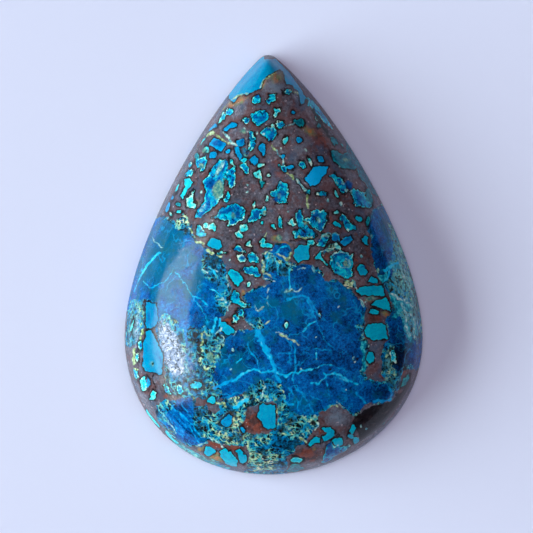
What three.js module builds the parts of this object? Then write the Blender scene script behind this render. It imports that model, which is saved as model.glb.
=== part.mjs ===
// A pear-shaped cabochon of azurite and shattuckite in brown matrix: one cut and polished stone.
// It lies on its flat back, with a small bevel round the back's edge, a low wall that leans
// inwards, and a dome that runs from the wall to a broad crown and down to the rounded tip.
import * as THREE from "three";

// Driving dimensions, in millimetres. The back is on Z = 0, the tip points along +Y, and the
// origin is under the middle of the stone's length and width.
const LENGTH = 40.0;
const WIDTH = 28.4;
const THICKNESS = 8.0;

// The outline. It was cut by eye, so the two sides differ a little.
const TIP_RADIUS = 1.1;
const TIP_SIDE_ANGLE = { right: 50.0, left: 47.5 }; // degrees, where each side's normal leaves the tip
const WIDEST_Y = { right: -7.1, left: -6.8 };
const ROUND_END_X = -0.4; // the lowest point of the round end
const HANDLE = {
  // how far each curve runs straight before it bends
  right: { tip: 7.5, above: 8.3, below: 7.7, end: 7.5 },
  left: { tip: 6.8, above: 8.4, below: 8.1, end: 7.6 },
};

// The section, from the back up to the crown.
const BACK_BEVEL = 0.45;
const WALL_TOP = 2.3;
const WALL_LEAN = 0.55; // how far the wall has leaned in at its top
const SHOULDER_RISE = 2.7; // how far the dome still follows the wall's slope
const CROWN_REACH = 0.56; // the level part of the crown, as a share of the way to the wall
const CROWN_CENTRE = new THREE.Vector2(0, -4.5);
// Level lines lose the tip's corner as they climb: each is averaged over an angle that grows
// with its distance from the wall, in radians at the crown's centre.
const CORNER_SOFTENING = 1.2;
const SOFTENING_STEPS = 4; // to each side

// How finely the solid is faceted: points along each curve of the outline, and level lines.
const TIP_ARC_POINTS = 3;
const SIDE_POINTS = 25;
const ROUND_END_POINTS = 22;
const DOME_RINGS = 22;

// A point of the tip's arc, at an angle in degrees from +X, with the direction the side leaves in.
function tipJoint(degrees, side) {
  const angle = THREE.MathUtils.degToRad(degrees);
  const normal = new THREE.Vector2(side * Math.cos(angle), Math.sin(angle));
  const point = normal.clone().multiplyScalar(TIP_RADIUS);
  point.y += LENGTH / 2 - TIP_RADIUS;
  const away = new THREE.Vector2(side * normal.y, -side * normal.x);
  return { angle, point, away };
}

// The outline as a ring of points, run anticlockwise from the tip.
function stoneOutline() {
  const left = tipJoint(TIP_SIDE_ANGLE.left, -1);
  const right = tipJoint(TIP_SIDE_ANGLE.right, 1);
  const half = WIDTH / 2;
  const end = -LENGTH / 2;
  const tipCentreY = LENGTH / 2 - TIP_RADIUS;
  const leftHandle = left.point.clone().addScaledVector(left.away, HANDLE.left.tip);
  const rightHandle = right.point.clone().addScaledVector(right.away, HANDLE.right.tip);
  const path = new THREE.Path();
  path.absarc(0, tipCentreY, TIP_RADIUS, Math.PI / 2, Math.PI - left.angle, false);
  path.bezierCurveTo(
    leftHandle.x, leftHandle.y,
    -half, WIDEST_Y.left + HANDLE.left.above,
    -half, WIDEST_Y.left,
  );
  path.bezierCurveTo(
    -half, WIDEST_Y.left - HANDLE.left.below,
    ROUND_END_X - HANDLE.left.end, end,
    ROUND_END_X, end,
  );
  path.bezierCurveTo(
    ROUND_END_X + HANDLE.right.end, end,
    half, WIDEST_Y.right - HANDLE.right.below,
    half, WIDEST_Y.right,
  );
  path.bezierCurveTo(
    half, WIDEST_Y.right + HANDLE.right.above,
    rightHandle.x, rightHandle.y,
    right.point.x, right.point.y,
  );
  path.absarc(0, tipCentreY, TIP_RADIUS, right.angle, Math.PI / 2, false);
  const counts = [
    TIP_ARC_POINTS, SIDE_POINTS, ROUND_END_POINTS, ROUND_END_POINTS, SIDE_POINTS, TIP_ARC_POINTS,
  ];
  return path.curves.flatMap((curve, i) => curve.getSpacedPoints(counts[i]).slice(0, -1));
}

// The outline moved inwards by a distance, as a ring of points at height z.
function insetRing(outline, inset, z) {
  const count = outline.length;
  return outline.map((point, i) => {
    const before = outline[(i + count - 1) % count];
    const after = outline[(i + 1) % count];
    const along = after.clone().sub(before).normalize();
    return new THREE.Vector3(point.x - along.y * inset, point.y + along.x * inset, z);
  });
}

// How far the wall's top lies from the crown's centre, as a function of the direction.
function wallReach(wallRing) {
  const turn = 2 * Math.PI;
  const wrap = (angle) => ((angle % turn) + turn) % turn;
  const corners = wallRing
    .map((point) => new THREE.Vector2(point.x, point.y).sub(CROWN_CENTRE))
    .map((arm) => ({ angle: wrap(arm.angle()), reach: arm.length() }))
    .sort((a, b) => a.angle - b.angle);
  const last = corners[corners.length - 1];
  corners.unshift({ angle: last.angle - turn, reach: last.reach });
  corners.push({ angle: corners[1].angle + turn, reach: corners[1].reach });
  return (direction) => {
    const angle = wrap(direction);
    const after = corners.findIndex((corner) => corner.angle > angle);
    const low = corners[after - 1];
    const high = corners[after];
    const share = (angle - low.angle) / (high.angle - low.angle);
    return THREE.MathUtils.lerp(low.reach, high.reach, share);
  };
}

// The direction of a dome point from the crown's centre. The wall's points crowd at the tip, so
// they are spread evenly as the level lines climb.
function domeDirection(wallPoint, index, count, share) {
  const turn = 2 * Math.PI;
  const even = Math.PI / 2 + (turn * index) / count;
  const own = new THREE.Vector2(wallPoint.x, wallPoint.y).sub(CROWN_CENTRE).angle();
  const nearest = own + turn * Math.round((even - own) / turn);
  return THREE.MathUtils.lerp(even, nearest, share);
}

// One level line of the dome. share is 1 at the wall and 0 at the crown's centre.
function domeRing(wallRing, reachAt, share, z) {
  const step = (CORNER_SOFTENING * (1 - share)) / SOFTENING_STEPS;
  return wallRing.map((point, index) => {
    const direction = domeDirection(point, index, wallRing.length, share);
    let total = 0;
    let weights = 0;
    for (let i = -SOFTENING_STEPS; i <= SOFTENING_STEPS; i++) {
      const weight = SOFTENING_STEPS + 1 - Math.abs(i);
      total += weight * reachAt(direction + i * step);
      weights += weight;
    }
    const radius = (share * total) / weights;
    return new THREE.Vector3(
      CROWN_CENTRE.x + Math.cos(direction) * radius,
      CROWN_CENTRE.y + Math.sin(direction) * radius,
      z,
    );
  });
}

// The dome's section: x is the share of the way out to the wall and y is the height.
function domeSection() {
  const wallSlope = WALL_LEAN / (WALL_TOP - BACK_BEVEL);
  const shoulderShare = 1 - (SHOULDER_RISE * wallSlope) / (WIDTH / 2);
  return new THREE.CubicBezierCurve(
    new THREE.Vector2(1, WALL_TOP),
    new THREE.Vector2(shoulderShare, WALL_TOP + SHOULDER_RISE),
    new THREE.Vector2(CROWN_REACH, THICKNESS),
    new THREE.Vector2(0, THICKNESS),
  );
}

// A closed solid from rings of equal length, listed upwards, with a point to close each end.
function solidFromRings(rings, lowest, highest) {
  const count = rings[0].length;
  const points = [...rings.flat(), lowest, highest];
  const lowestIndex = points.length - 2;
  const highestIndex = points.length - 1;
  const faces = [];
  for (let level = 0; level < rings.length - 1; level++) {
    for (let i = 0; i < count; i++) {
      const a = level * count + i;
      const b = level * count + ((i + 1) % count);
      faces.push(a, b, b + count, a, b + count, a + count);
    }
  }
  const topStart = (rings.length - 1) * count;
  for (let i = 0; i < count; i++) {
    const next = (i + 1) % count;
    faces.push(lowestIndex, next, i);
    faces.push(highestIndex, topStart + i, topStart + next);
  }
  const geometry = new THREE.BufferGeometry().setFromPoints(points);
  geometry.setIndex(faces);
  geometry.computeVertexNormals();
  return geometry;
}

function cabochonGeometry() {
  const outline = stoneOutline();
  const wallRing = insetRing(outline, WALL_LEAN, WALL_TOP);
  const section = domeSection().getSpacedPoints(DOME_RINGS);
  const reachAt = wallReach(wallRing);
  const domeRings = section
    .slice(1, DOME_RINGS)
    .map((at) => domeRing(wallRing, reachAt, at.x, at.y));
  const rings = [
    insetRing(outline, BACK_BEVEL, 0),
    insetRing(outline, 0, BACK_BEVEL),
    wallRing,
    ...domeRings,
  ];
  const backCentre = new THREE.Vector3(CROWN_CENTRE.x, CROWN_CENTRE.y, 0);
  const crownTop = new THREE.Vector3(CROWN_CENTRE.x, CROWN_CENTRE.y, THICKNESS);
  return solidFromRings(rings, backCentre, crownTop);
}

const polishedStone = new THREE.MeshStandardMaterial({
  color: 0x1c6684,
  roughness: 0.12,
  metalness: 0.0,
});

const cabochon = new THREE.Mesh(cabochonGeometry(), polishedStone);
cabochon.name = "cabochon";

const stone = new THREE.Group();
stone.add(cabochon);

export default stone;
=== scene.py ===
"""A pear-shaped cabochon of azurite and shattuckite, lying on a pale floor beside a soft window.

The stone is one dense mesh that repeats the CAD solid's outline and section. What mineral lies
where is worked out in millimetres from given shapes, and reaches the material as named
values at the mesh's points. The material gives each mineral its colour and grain.
"""
import math

import bpy
import numpy as np
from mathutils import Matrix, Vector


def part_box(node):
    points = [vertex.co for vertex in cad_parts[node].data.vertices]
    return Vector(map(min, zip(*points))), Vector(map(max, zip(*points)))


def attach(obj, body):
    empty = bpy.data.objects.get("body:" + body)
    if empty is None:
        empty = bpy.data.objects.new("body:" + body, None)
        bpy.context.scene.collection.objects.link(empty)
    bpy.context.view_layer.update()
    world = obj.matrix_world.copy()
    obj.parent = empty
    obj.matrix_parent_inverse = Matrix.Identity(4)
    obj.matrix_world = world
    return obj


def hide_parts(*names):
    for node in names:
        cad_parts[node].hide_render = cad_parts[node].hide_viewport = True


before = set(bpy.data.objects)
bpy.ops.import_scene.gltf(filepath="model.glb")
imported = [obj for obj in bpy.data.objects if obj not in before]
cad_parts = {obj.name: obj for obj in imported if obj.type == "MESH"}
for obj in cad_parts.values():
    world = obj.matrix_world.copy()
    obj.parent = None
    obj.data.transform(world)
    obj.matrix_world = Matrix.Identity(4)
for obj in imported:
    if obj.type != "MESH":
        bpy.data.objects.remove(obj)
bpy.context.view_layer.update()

METRES = 0.001  # one millimetre
WHOLE_TURN = 2 * math.pi
TIP_TURN = 0.25  # the tip points to +Y, a quarter turn from +X

# The stone's shape, in millimetres: the same curves as the CAD solid, fitted to its box later.
DRAWN_SIZE = np.array([28.4, 40.0, 8.0])
HALF_WIDTH = DRAWN_SIZE[0] / 2
TIP_Y = DRAWN_SIZE[1] / 2
THICKNESS = DRAWN_SIZE[2]
TIP_RADIUS = 1.1
TIP_CENTRE = np.array([0.0, TIP_Y - TIP_RADIUS])
TIP_SIDE_ANGLE = {"right": 50.0, "left": 47.5}
WIDEST_Y = {"right": -7.1, "left": -6.8}
ROUND_END = np.array([-0.4, -TIP_Y])
HANDLE = {
    "right": {"tip": 7.5, "above": 8.3, "below": 7.7, "end": 7.5},
    "left": {"tip": 6.8, "above": 8.4, "below": 8.1, "end": 7.6},
}
BACK_BEVEL = 0.45
WALL_TOP = 2.3
WALL_LEAN = 0.55
SHOULDER_RISE = 2.7
CROWN_REACH = 0.56
CROWN_CENTRE = np.array([0.0, -4.5])
CORNER_SOFTENING = 1.2
SOFTENING_STEPS = 4
# The bevel between wall and back, with its corners rounded: how far in from the outline, and z.
BEVEL_PROFILE = ((0.0, 0.56), (0.012, 0.46), (0.06, 0.37), (0.36, 0.08), (0.42, 0.02), (0.52, 0.0))

# How finely the mesh is divided.
DOME_COLUMNS = 240
DOME_ROWS = 320
WALL_RINGS = 9
BACK_COLUMNS = DOME_COLUMNS // 4
BACK_ROWS = DOME_ROWS // 4
BACK_STEPS = (0.97, 0.94)  # two rings that halve the back's points, as shares of its reach
CURVE_SAMPLES = 400


def bezier(start, handle, end_handle, end):
    """Points of a cubic Bezier curve, without its last."""
    t = np.linspace(0, 1, CURVE_SAMPLES, endpoint=False)[:, None]
    near = (1 - t) ** 3 * np.array(start) + 3 * (1 - t) ** 2 * t * np.array(handle)
    far = 3 * (1 - t) * t**2 * np.array(end_handle) + t**3 * np.array(end)
    return near + far


def tip_arc(first, last):
    """Points of the tip's arc between two angles in degrees from +X."""
    angles = np.radians(np.linspace(first, last, CURVE_SAMPLES // 8, endpoint=False))
    return TIP_CENTRE + TIP_RADIUS * np.column_stack([np.cos(angles), np.sin(angles)])


def outline_side(name, side):
    """One side of the outline, from the tip's arc to the round end."""
    angle = math.radians(TIP_SIDE_ANGLE[name])
    normal = np.array([side * math.cos(angle), math.sin(angle)])
    away = np.array([side * normal[1], -side * normal[0]])
    handle = HANDLE[name]
    start = TIP_CENTRE + TIP_RADIUS * normal
    widest = np.array([side * HALF_WIDTH, WIDEST_Y[name]])
    along = np.array([0.0, 1.0])
    outward = np.array([side, 0.0])
    upper = bezier(start, start + handle["tip"] * away, widest + handle["above"] * along, widest)
    lower = bezier(
        widest, widest - handle["below"] * along, ROUND_END + handle["end"] * outward, ROUND_END
    )
    return np.concatenate([upper, lower])


def stone_outline():
    """The outline, anticlockwise from the tip, as closely spaced points."""
    return np.concatenate([
        tip_arc(90, 180 - TIP_SIDE_ANGLE["left"]),
        outline_side("left", -1),
        [ROUND_END],
        outline_side("right", 1)[:0:-1],
        tip_arc(TIP_SIDE_ANGLE["right"], 90),
    ])


class Rim:
    """The outline and the wall's top, looked up by the share of the way round from the tip."""

    def __init__(self):
        self.line = stone_outline()
        steps = np.linalg.norm(np.roll(self.line, -1, axis=0) - self.line, axis=1)
        self.share = (np.cumsum(steps) - steps) / steps.sum()
        along = np.roll(self.line, -1, axis=0) - np.roll(self.line, 1, axis=0)
        along /= np.linalg.norm(along, axis=1)[:, None]
        self.inward = np.column_stack([-along[:, 1], along[:, 0]])
        arms = self.line + WALL_LEAN * self.inward - CROWN_CENTRE
        self.direction = np.unwrap(np.arctan2(arms[:, 1], arms[:, 0]))
        self.lead = self.direction - WHOLE_TURN * (TIP_TURN + self.share)
        self.reach = np.linalg.norm(arms, axis=1)

    def at(self, shares, values):
        """One of the rim's pairs of values, at any shares of the way round."""
        pair = [np.interp(shares, self.share, column, period=1) for column in values.T]
        return np.column_stack(pair)

    def inset(self, shares, distance):
        """Points inside the outline by a distance."""
        return self.at(shares, self.line) + distance * self.at(shares, self.inward)

    def dome_point(self, shares, out):
        """A dome point in plan: out is 0 at the crown's centre and 1 at the wall."""
        lead = np.interp(shares, self.share, self.lead, period=1)
        direction = WHOLE_TURN * (TIP_TURN + shares) + out * lead
        step = CORNER_SOFTENING * (1 - out) / SOFTENING_STEPS
        total = 0.0
        weights = 0.0
        for i in range(-SOFTENING_STEPS, SOFTENING_STEPS + 1):
            weight = SOFTENING_STEPS + 1 - abs(i)
            seen = np.interp(direction + i * step, self.direction, self.reach, period=WHOLE_TURN)
            total = total + weight * seen
            weights += weight
        radius = out * total / weights
        arm = np.column_stack([np.cos(direction), np.sin(direction)])
        return CROWN_CENTRE + arm * radius[:, None]


def dome_height(out):
    """The dome's height at a share of the way out from the crown's centre to the wall."""
    wall_slope = WALL_LEAN / (WALL_TOP - BACK_BEVEL)
    shoulder = (1 - SHOULDER_RISE * wall_slope / HALF_WIDTH, WALL_TOP + SHOULDER_RISE)
    crown = (CROWN_REACH, THICKNESS)
    section = bezier((1, WALL_TOP), shoulder, crown, (0, THICKNESS))
    section = np.concatenate([section, [[0, THICKNESS]]])[::-1]
    return np.interp(out, section[:, 0], section[:, 1])


def disc_grid(columns, rows):
    """A square grid bent into a disc: each point's share of the way round, and out."""
    across, up = np.meshgrid(np.linspace(-1, 1, columns + 1), np.linspace(-1, 1, rows + 1))
    wide = np.abs(across) > np.abs(up)
    radius = np.where(wide, across, up)
    other = np.where(wide, up, across)
    tilt = np.divide(other, radius, out=np.zeros_like(radius), where=radius != 0) * math.pi / 4
    angle = np.where(wide, tilt, math.pi / 2 - tilt)
    x = radius * np.cos(angle)
    y = radius * np.sin(angle)
    shares = (np.arctan2(y, x) / WHOLE_TURN - TIP_TURN) % 1.0
    return shares.ravel(), np.hypot(x, y).ravel()


def grid_faces(columns, rows):
    """The quads of a grid of points, anticlockwise."""
    corner = (np.arange(rows)[:, None] * (columns + 1) + np.arange(columns)).ravel()
    above = corner + columns + 1
    return np.column_stack([corner, corner + 1, above + 1, above])


def grid_border(columns, rows):
    """The grid's outer points in order, anticlockwise."""
    wide = columns + 1
    bottom = np.arange(columns)
    right = columns + wide * np.arange(rows)
    top = rows * wide + columns - np.arange(columns)
    left = wide * (rows - np.arange(rows))
    return np.concatenate([bottom, right, top, left])


def ring_faces(upper, lower):
    """Quads between two rings of as many points, facing out."""
    return np.column_stack([upper, lower, np.roll(lower, -1), np.roll(upper, -1)])


def halving_faces(fine, coarse):
    """Triangles between a ring on the back and one inside it with half as many points."""
    first = fine[0::2]
    middle = fine[1::2]
    last = np.roll(first, -1)
    following = np.roll(coarse, -1)
    return np.concatenate([
        np.column_stack([first, coarse, middle]),
        np.column_stack([middle, coarse, following]),
        np.column_stack([middle, following, last]),
    ])


def wall_profile():
    """The wall and the bevel from top to bottom: how far in from the outline, and z."""
    bevel_top = BEVEL_PROFILE[0][1]
    wall = []
    for i in range(1, WALL_RINGS):
        share = i / WALL_RINGS
        wall.append((WALL_LEAN * (1 - share), WALL_TOP + (bevel_top - WALL_TOP) * share))
    return wall + list(BEVEL_PROFILE)


class StoneMesh:
    """The stone's points, where each lies on the unrolled surface, and its faces.

    The unrolled surface is the plan with the wall and the bevel folded out round it, so that a
    marking runs over the edge at its true size.
    """

    def __init__(self):
        self.points = np.empty((0, 3))
        self.unrolled = np.empty((0, 2))
        self.upper_faces = []
        self.back_faces = []
        rim = Rim()
        ring, around = self.add_dome(rim)
        ring = self.add_wall(rim, ring, around)
        self.add_back(ring)

    def add(self, plan, height, unrolled):
        """Adds points and returns their numbers."""
        first = len(self.points)
        heights = np.broadcast_to(height, len(plan))
        self.points = np.concatenate([self.points, np.column_stack([plan, heights])])
        self.unrolled = np.concatenate([self.unrolled, unrolled])
        return first + np.arange(len(plan))

    def add_dome(self, rim):
        """Adds the dome and returns its border and how far round each border point lies."""
        shares, out = disc_grid(DOME_COLUMNS, DOME_ROWS)
        plan = rim.dome_point(shares, out)
        self.add(plan, dome_height(out), plan)
        self.upper_faces.append(grid_faces(DOME_COLUMNS, DOME_ROWS))
        border = grid_border(DOME_COLUMNS, DOME_ROWS)
        return border, shares[border]

    def add_wall(self, rim, ring, around):
        """Adds the wall and the bevel below a ring and returns their lowest ring."""
        edge = rim.inset(around, WALL_LEAN)
        outward = edge - rim.inset(around, WALL_LEAN + 1)
        walked = 0.0
        last = (WALL_LEAN, WALL_TOP)
        for place in wall_profile():
            walked += math.dist(last, place)
            last = place
            inset, height = place
            lower = self.add(rim.inset(around, inset), height, edge + walked * outward)
            self.upper_faces.append(ring_faces(ring, lower))
            ring = lower
        return ring

    def add_back(self, ring):
        """Closes the back inside a ring, with fewer and fewer points."""
        edge = self.points[ring, :2] - CROWN_CENTRE
        for step in BACK_STEPS:
            edge = edge[::2]
            plan = CROWN_CENTRE + step * edge
            coarse = self.add(plan, 0.0, plan)
            self.back_faces.append(halving_faces(ring, coarse))
            ring = coarse
        self.add_back_grid(ring)

    def add_back_grid(self, ring):
        """Fills the back's middle with a coarse grid whose border is the ring."""
        shares, out = disc_grid(BACK_COLUMNS, BACK_ROWS)
        border = grid_border(BACK_COLUMNS, BACK_ROWS)
        edge = self.points[ring, :2] - CROWN_CENTRE
        order = np.argsort(shares[border])
        known = shares[border][order]
        arm = [np.interp(shares, known, column, period=1) for column in edge[order].T]
        plan = CROWN_CENTRE + np.column_stack(arm) * out[:, None]
        inside = np.ones(len(shares), dtype=bool)
        inside[border] = False
        numbers = np.empty(len(shares), dtype=int)
        numbers[border] = ring
        numbers[inside] = self.add(plan[inside], 0.0, plan[inside])
        self.back_faces.append(numbers[grid_faces(BACK_COLUMNS, BACK_ROWS)][:, ::-1])


RIPPLE_WAVES = 18
RIPPLE_SPREAD = (0.7, 1.5)  # how the waves differ in how closely they follow each other


def ripple(places, wavelength, seed):
    """A smooth random field over the plane, about -1 to 1, with bumps of a given size."""
    chance = np.random.default_rng(seed)
    total = np.zeros(len(places))
    for _ in range(RIPPLE_WAVES):
        heading = chance.uniform(0, WHOLE_TURN)
        waves = WHOLE_TURN / wavelength * chance.uniform(*RIPPLE_SPREAD)
        along = places[:, 0] * math.cos(heading) + places[:, 1] * math.sin(heading)
        total += np.sin(along * waves + chance.uniform(0, WHOLE_TURN))
    return total / math.sqrt(RIPPLE_WAVES)


# The markings, placed on the unrolled surface, in tenths of a millimetre. A polygon is
# x, y, x, y...; an oval is x, y, length, width and its turn in degrees from +X; a stain is an
# oval and its strength; a dot is x, y, size; a line is its width and then its points.

# Fields of azurite between the matrix, some of them running over the stone's edge: the left
# flank with the middle, the right shoulder, and the striped patch near the round end.
AZURITE_FIELDS = [
    [-170, 56, -108, 50, -90, 40, -87, 36, -80, 36, -72, 24, -50, 8, -45, 1, -40, -22, -41, -36, -50, -52,
     -50, -60, -44, -66, -38, -65, -35, -61, -20, -60, -33, -41, -23, -40, -28, -29, -24, -26, 0, -17, -9,
     -12, -8, 10, 5, 19, 13, 20, 18, 15, 14, 2, 18, -3, 20, -1, 32, 0, 38, -2, 46, -8, 49, -16, 54, -18, 61,
     -16, 70, -22, 88, -42, 83, -62, 84, -70, 90, -80, 87, -86, 87, -99, 83, -105, 86, -110, 93, -113, 107,
     -114, 113, -122, 113, -129, 98, -134, 87, -134, 75, -145, 60, -132, 42, -140, 42, -145, 39, -146, 21,
     -144, 10, -134, 6, -115, -4, -110, -22, -114, -30, -122, -46, -128, -62, -121, -74, -101, -84, -104,
     -92, -103, -102, -95, -104, -84, -108, -78, -112, -56, -111, -34, -120, -32, -132, -34, -142, -40,
     -170, -40],
    [98, 50, 90, 39, 94, 26, 95, 8, 100, -12, 114, -36, 112, -48, 106, -53, 110, -70, 106, -75, 102, -89,
     102, -99, 114, -122, 119, -119, 120, -107, 124, -100, 130, -100, 145, -106, 170, -90, 170, 40, 120,
     62],
    [-108, -134, -102, -129, -84, -124, -77, -125, -76, -132, -70, -134, -60, -132, -53, -134, -52, -142,
     -55, -150, -52, -158, -46, -160, -42, -166, -55, -167, -66, -165, -70, -172, -88, -169, -95, -163,
     -109, -142],
]

# Where the azurite is paler (below 0) or darker (above 0). The broad stain over the left flank
# is painted shade: it is set near 0 rather than paler, so the azurite stays dark where the side
# light falls strongest.
AZURITE_DEPTHS_AND_SHADE = [
    [117, 28, 60, 26, 102, -0.5], [-115, 0, 120, 50, 75, -0.03], [-66, -26, 60, 24, 80, -0.15],
    [-95, -70, 60, 30, 90, -0.4], [-48, -32, 30, 16, 80, 0.3], [-69, -49, 16, 16, 0, 0.35],
    [106, 6, 70, 20, 100, 0.4], [120, -86, 50, 22, 85, 0.95], [102, -122, 24, 16, 0, 0.8],
    [40, -10, 40, 16, 0, 0.15], [2, 4, 20, 14, -60, -0.15], [-86, -150, 55, 30, -45, 0.1],
    [114, -40, 20, 16, 80, -0.2], [38, -88, 80, 50, 0, 0.22], [12, -36, 50, 30, 0, -0.1],
    [52, -118, 8, 6, 0, 0.5], [-16, -31, 18, 12, 10, 0.35], [-88, 8, 30, 22, 80, -0.45],
    [-31, -84, 44, 30, 0, 0.5], [-86, -32, 30, 12, 85, -0.2],
]
# Where it is more teal (above 0) or less (below 0).
TEAL_STAINS = [
    [52, -88, 50, 40, 0, -0.9], [20, -80, 30, 30, 0, -0.4], [-104, 10, 90, 60, 80, 1.3],
    [-68, -8, 40, 26, 80, 0.7], [8, -42, 50, 34, 0, 0.65], [-42, -92, 36, 20, 0, 0.7],
    [-20, -66, 24, 12, 0, 0.7], [66, -30, 40, 30, 90, 0.5], [114, 36, 60, 26, 105, 1.1],
    [110, -30, 30, 16, 90, 0.5],
]
# Where it is striped.
STRIPED_PATCHES = [
    [-86, -150, 60, 34, -50, 1], [-115, 5, 50, 30, 60, 0.6], [-70, -25, 60, 24, 80, 0.4],
]

# Lacy mixtures of azurite and its green neighbours.
MOSAICS = [
    [-114, -132, -104, -126, -94, -128, -97, -134, -103, -136, -108, -146, -90, -170, -96, -173, -105, -162,
     -113, -148],
    [-82, -55, -72, -59, -66, -56, -44, -66, -46, -75, -52, -80, -47, -87, -54, -93, -57, -100, -69, -102,
     -82, -86],
    [-49, -127, -34, -125, -22, -112, -4, -108, 7, -114, 10, -134, 21, -143, 39, -144, 42, -152, 31, -166,
     29, -172, 21, -173, 10, -184, 12, -220, -36, -220, -25, -180, -29, -172, -50, -169, -72, -162, -76,
     -148, -76, -136],
    [-77, -134, -60, -130, -56, -146, -59, -162, -72, -163, -79, -150],
    [113, 40, 140, 40, 170, -30, 170, -76, 130, -74, 121, -52, 113, -49, 113, -36, 107, -20, 114, -12, 112,
     0, 116, 15],
    [107, -75, 113, -79, 115, -88, 111, -99, 119, -107, 119, -119, 114, -124, 102, -106, 103, -89],
    [-145, -30, -122, -31, -120, -47, -126, -66, -133, -74, -155, -76],
    [67, -17, 76, -15, 80, -19, 78, -25, 72, -23, 67, -21],
    [48, 10, 53, 18, 59, 18, 64, 14, 58, 11, 55, 10], [-27, 111, -20, 110, -20, 104, -25, 102, -28, 106],
    [-88, 44, -84, 50, -80, 49, -74, 32, -83, 31, -92, 37],
    [81, -104, 85, -112, 92, -115, 106, -114, 90, -112, 85, -104, 86, -83, 83, -75, 79, -74, 82, -69, 78,
     -62, 87, -46, 86, -70, 90, -80, 88, -92],
    [-110, -48, -103, -44, -92, -49, -85, -62, -81, -98, -86, -108, -95, -108, -103, -98, -103, -84, -108,
     -76, -110, -65],
    [-34, -52, -22, -50, -12, -50, -9, -60, -18, -62, -29, -59],
    [-50, 7, -43, 2, -43, -12, -40, -22, -41, -36, -46, -46, -53, -44, -56, -30, -52, -18, -60, -16, -68,
     -4, -67, 10, -58, 12],
    [2, 9, 9, 4, 19, 2, 19, -8, 12, -13, 3, -6, -3, -9, -9, -6, -9, 8, -2, 12],
    [-84, -106, -62, -103, -54, -114, -63, -120, -74, -119, -86, -116],
    [-104, -97, -62, -100, -54, -110, -49, -124, -56, -129, -98, -121, -104, -113],
    [-59, -140, -40, -140, -37, -152, -44, -163, -56, -164],
    [-102, -164, -92, -172, -44, -198, -50, -214, -84, -204, -110, -184],
]
# Where the mixtures are yellower (above 0) or bluer (below 0).
WARM_STAINS = [
    [-36, -156, 60, 40, 0, 0.6], [-14, -186, 34, 30, 0, 0.8], [22, -156, 44, 26, 30, 0.6],
    [-30, -124, 40, 14, 0, 0.7], [5, -170, 20, 15, 0, -1.2], [-16, -172, 14, 10, 0, -0.6],
    [-62, -80, 24, 40, 0, 0.5], [125, -10, 90, 24, 100, -0.1], [112, -95, 24, 14, 80, 0.5],
    [73, -20, 14, 8, 0, 1], [55, 14, 14, 8, 0, 0.7], [-84, 44, 22, 14, 0, 0.7], [-54, -20, 20, 60, 0, -0.3],
    [5, 4, 30, 18, 0, 0.3], [-100, -112, 20, 10, 0, 0.3], [84, -94, 12, 30, 0, 0.3],
]
# Where the mixtures are mint green.
MINT_STAINS = [
    [-84, -186, 60, 20, -30, 1], [129, -12, 100, 32, 98, 1.3], [112, -95, 30, 12, 80, 0.7],
    [-132, -50, 40, 14, 80, 0.7],
]

# Matrix that lies over the mixtures, brown and sharp-edged.
EARTH_FIELDS = [
    [-26, -135, -2, -129, 2, -132, 3, -145, 0, -154, -6, -161, -34, -159, -34, -154, -29, -148],
    [21, -172, 42, -172, 48, -175, 48, -184, 45, -189, 15, -190, 10, -187, 11, -183, 17, -179],
    [-77, -174, -65, -170, -60, -171, -54, -175, -52, -185, -54, -188, -74, -180],
    [-51, -48, -49, -52, -41, -56, -37, -66, -34, -61, -19, -61, -30, -48],
    [-66, -126, -58, -125, -54, -131, -52, -137, -58, -140, -64, -136],
    [-37, -172, -28, -171, -26, -180, -28, -190, -36, -196, -48, -194, -54, -186, -52, -175, -46, -171],
]
# Matrix that is nearly black.
SOOTY_FIELDS = [
    [92, -136, 110, -133, 122, -122, 130, -106, 134, -116, 122, -136, 110, -150, 92, -165, 80, -171, 79,
     -162, 73, -151, 75, -146],
]

# Soft stains in the matrix: rust, ochre, grey (darker below 0), and chalky speckle where the
# polish has worn. Some grey stains are painted shade and light: darker over the middle left,
# where the side light falls strongest, and paler towards the tip. The speckle lies along the
# window's reflection on the left flank and is painted near white as a highlight.
RUST_STAINS = [
    [38, 126, 34, 18, -40, 0.7], [52, 118, 30, 14, -60, 0.6], [8, 90, 40, 14, -75, 0.7],
    [6, 30, 18, 12, 60, 0.7], [46, 56, 18, 8, 0, 0.6], [56, 42, 24, 8, 80, 0.6], [69, 31, 16, 8, 0, 0.7],
    [80, -1, 22, 7, 95, 0.95], [100, -17, 16, 7, -40, 0.6], [96, -53, 18, 7, 0, 1.3],
    [-29, -19, 10, 10, 0, 0.7], [-41, -53, 14, 9, -20, 1.3], [-28, -55, 16, 10, -30, 0.5],
    [-23, 44, 8, 5, 80, 0.6], [24, 23, 16, 4, 0, 0.7], [-19, -149, 30, 24, 0, 1.3],
    [-57, -170, 16, 7, -20, 1.3], [-37, -173, 20, 8, 0, 1.3], [32, -182, 36, 18, 0, 1.1],
    [102, -108, 10, 6, 0, 1], [123, -105, 12, 8, 30, 0.9], [-72, -124, 10, 16, 0, 0.3],
    [-104, -123, 10, 5, 20, 0.9], [43, -159, 7, 9, 0, 0.9], [69, -169, 14, 8, 0, 0.6],
    [52, 7, 7, 9, 0, 1.2], [64, 13, 8, 2.5, -30, 1.2], [-70, 62, 8, 7, 0, 0.6], [63, -12, 22, 4, -15, 0.5],
    [-6, 136, 32, 8, 10, 0.4],
]
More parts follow.
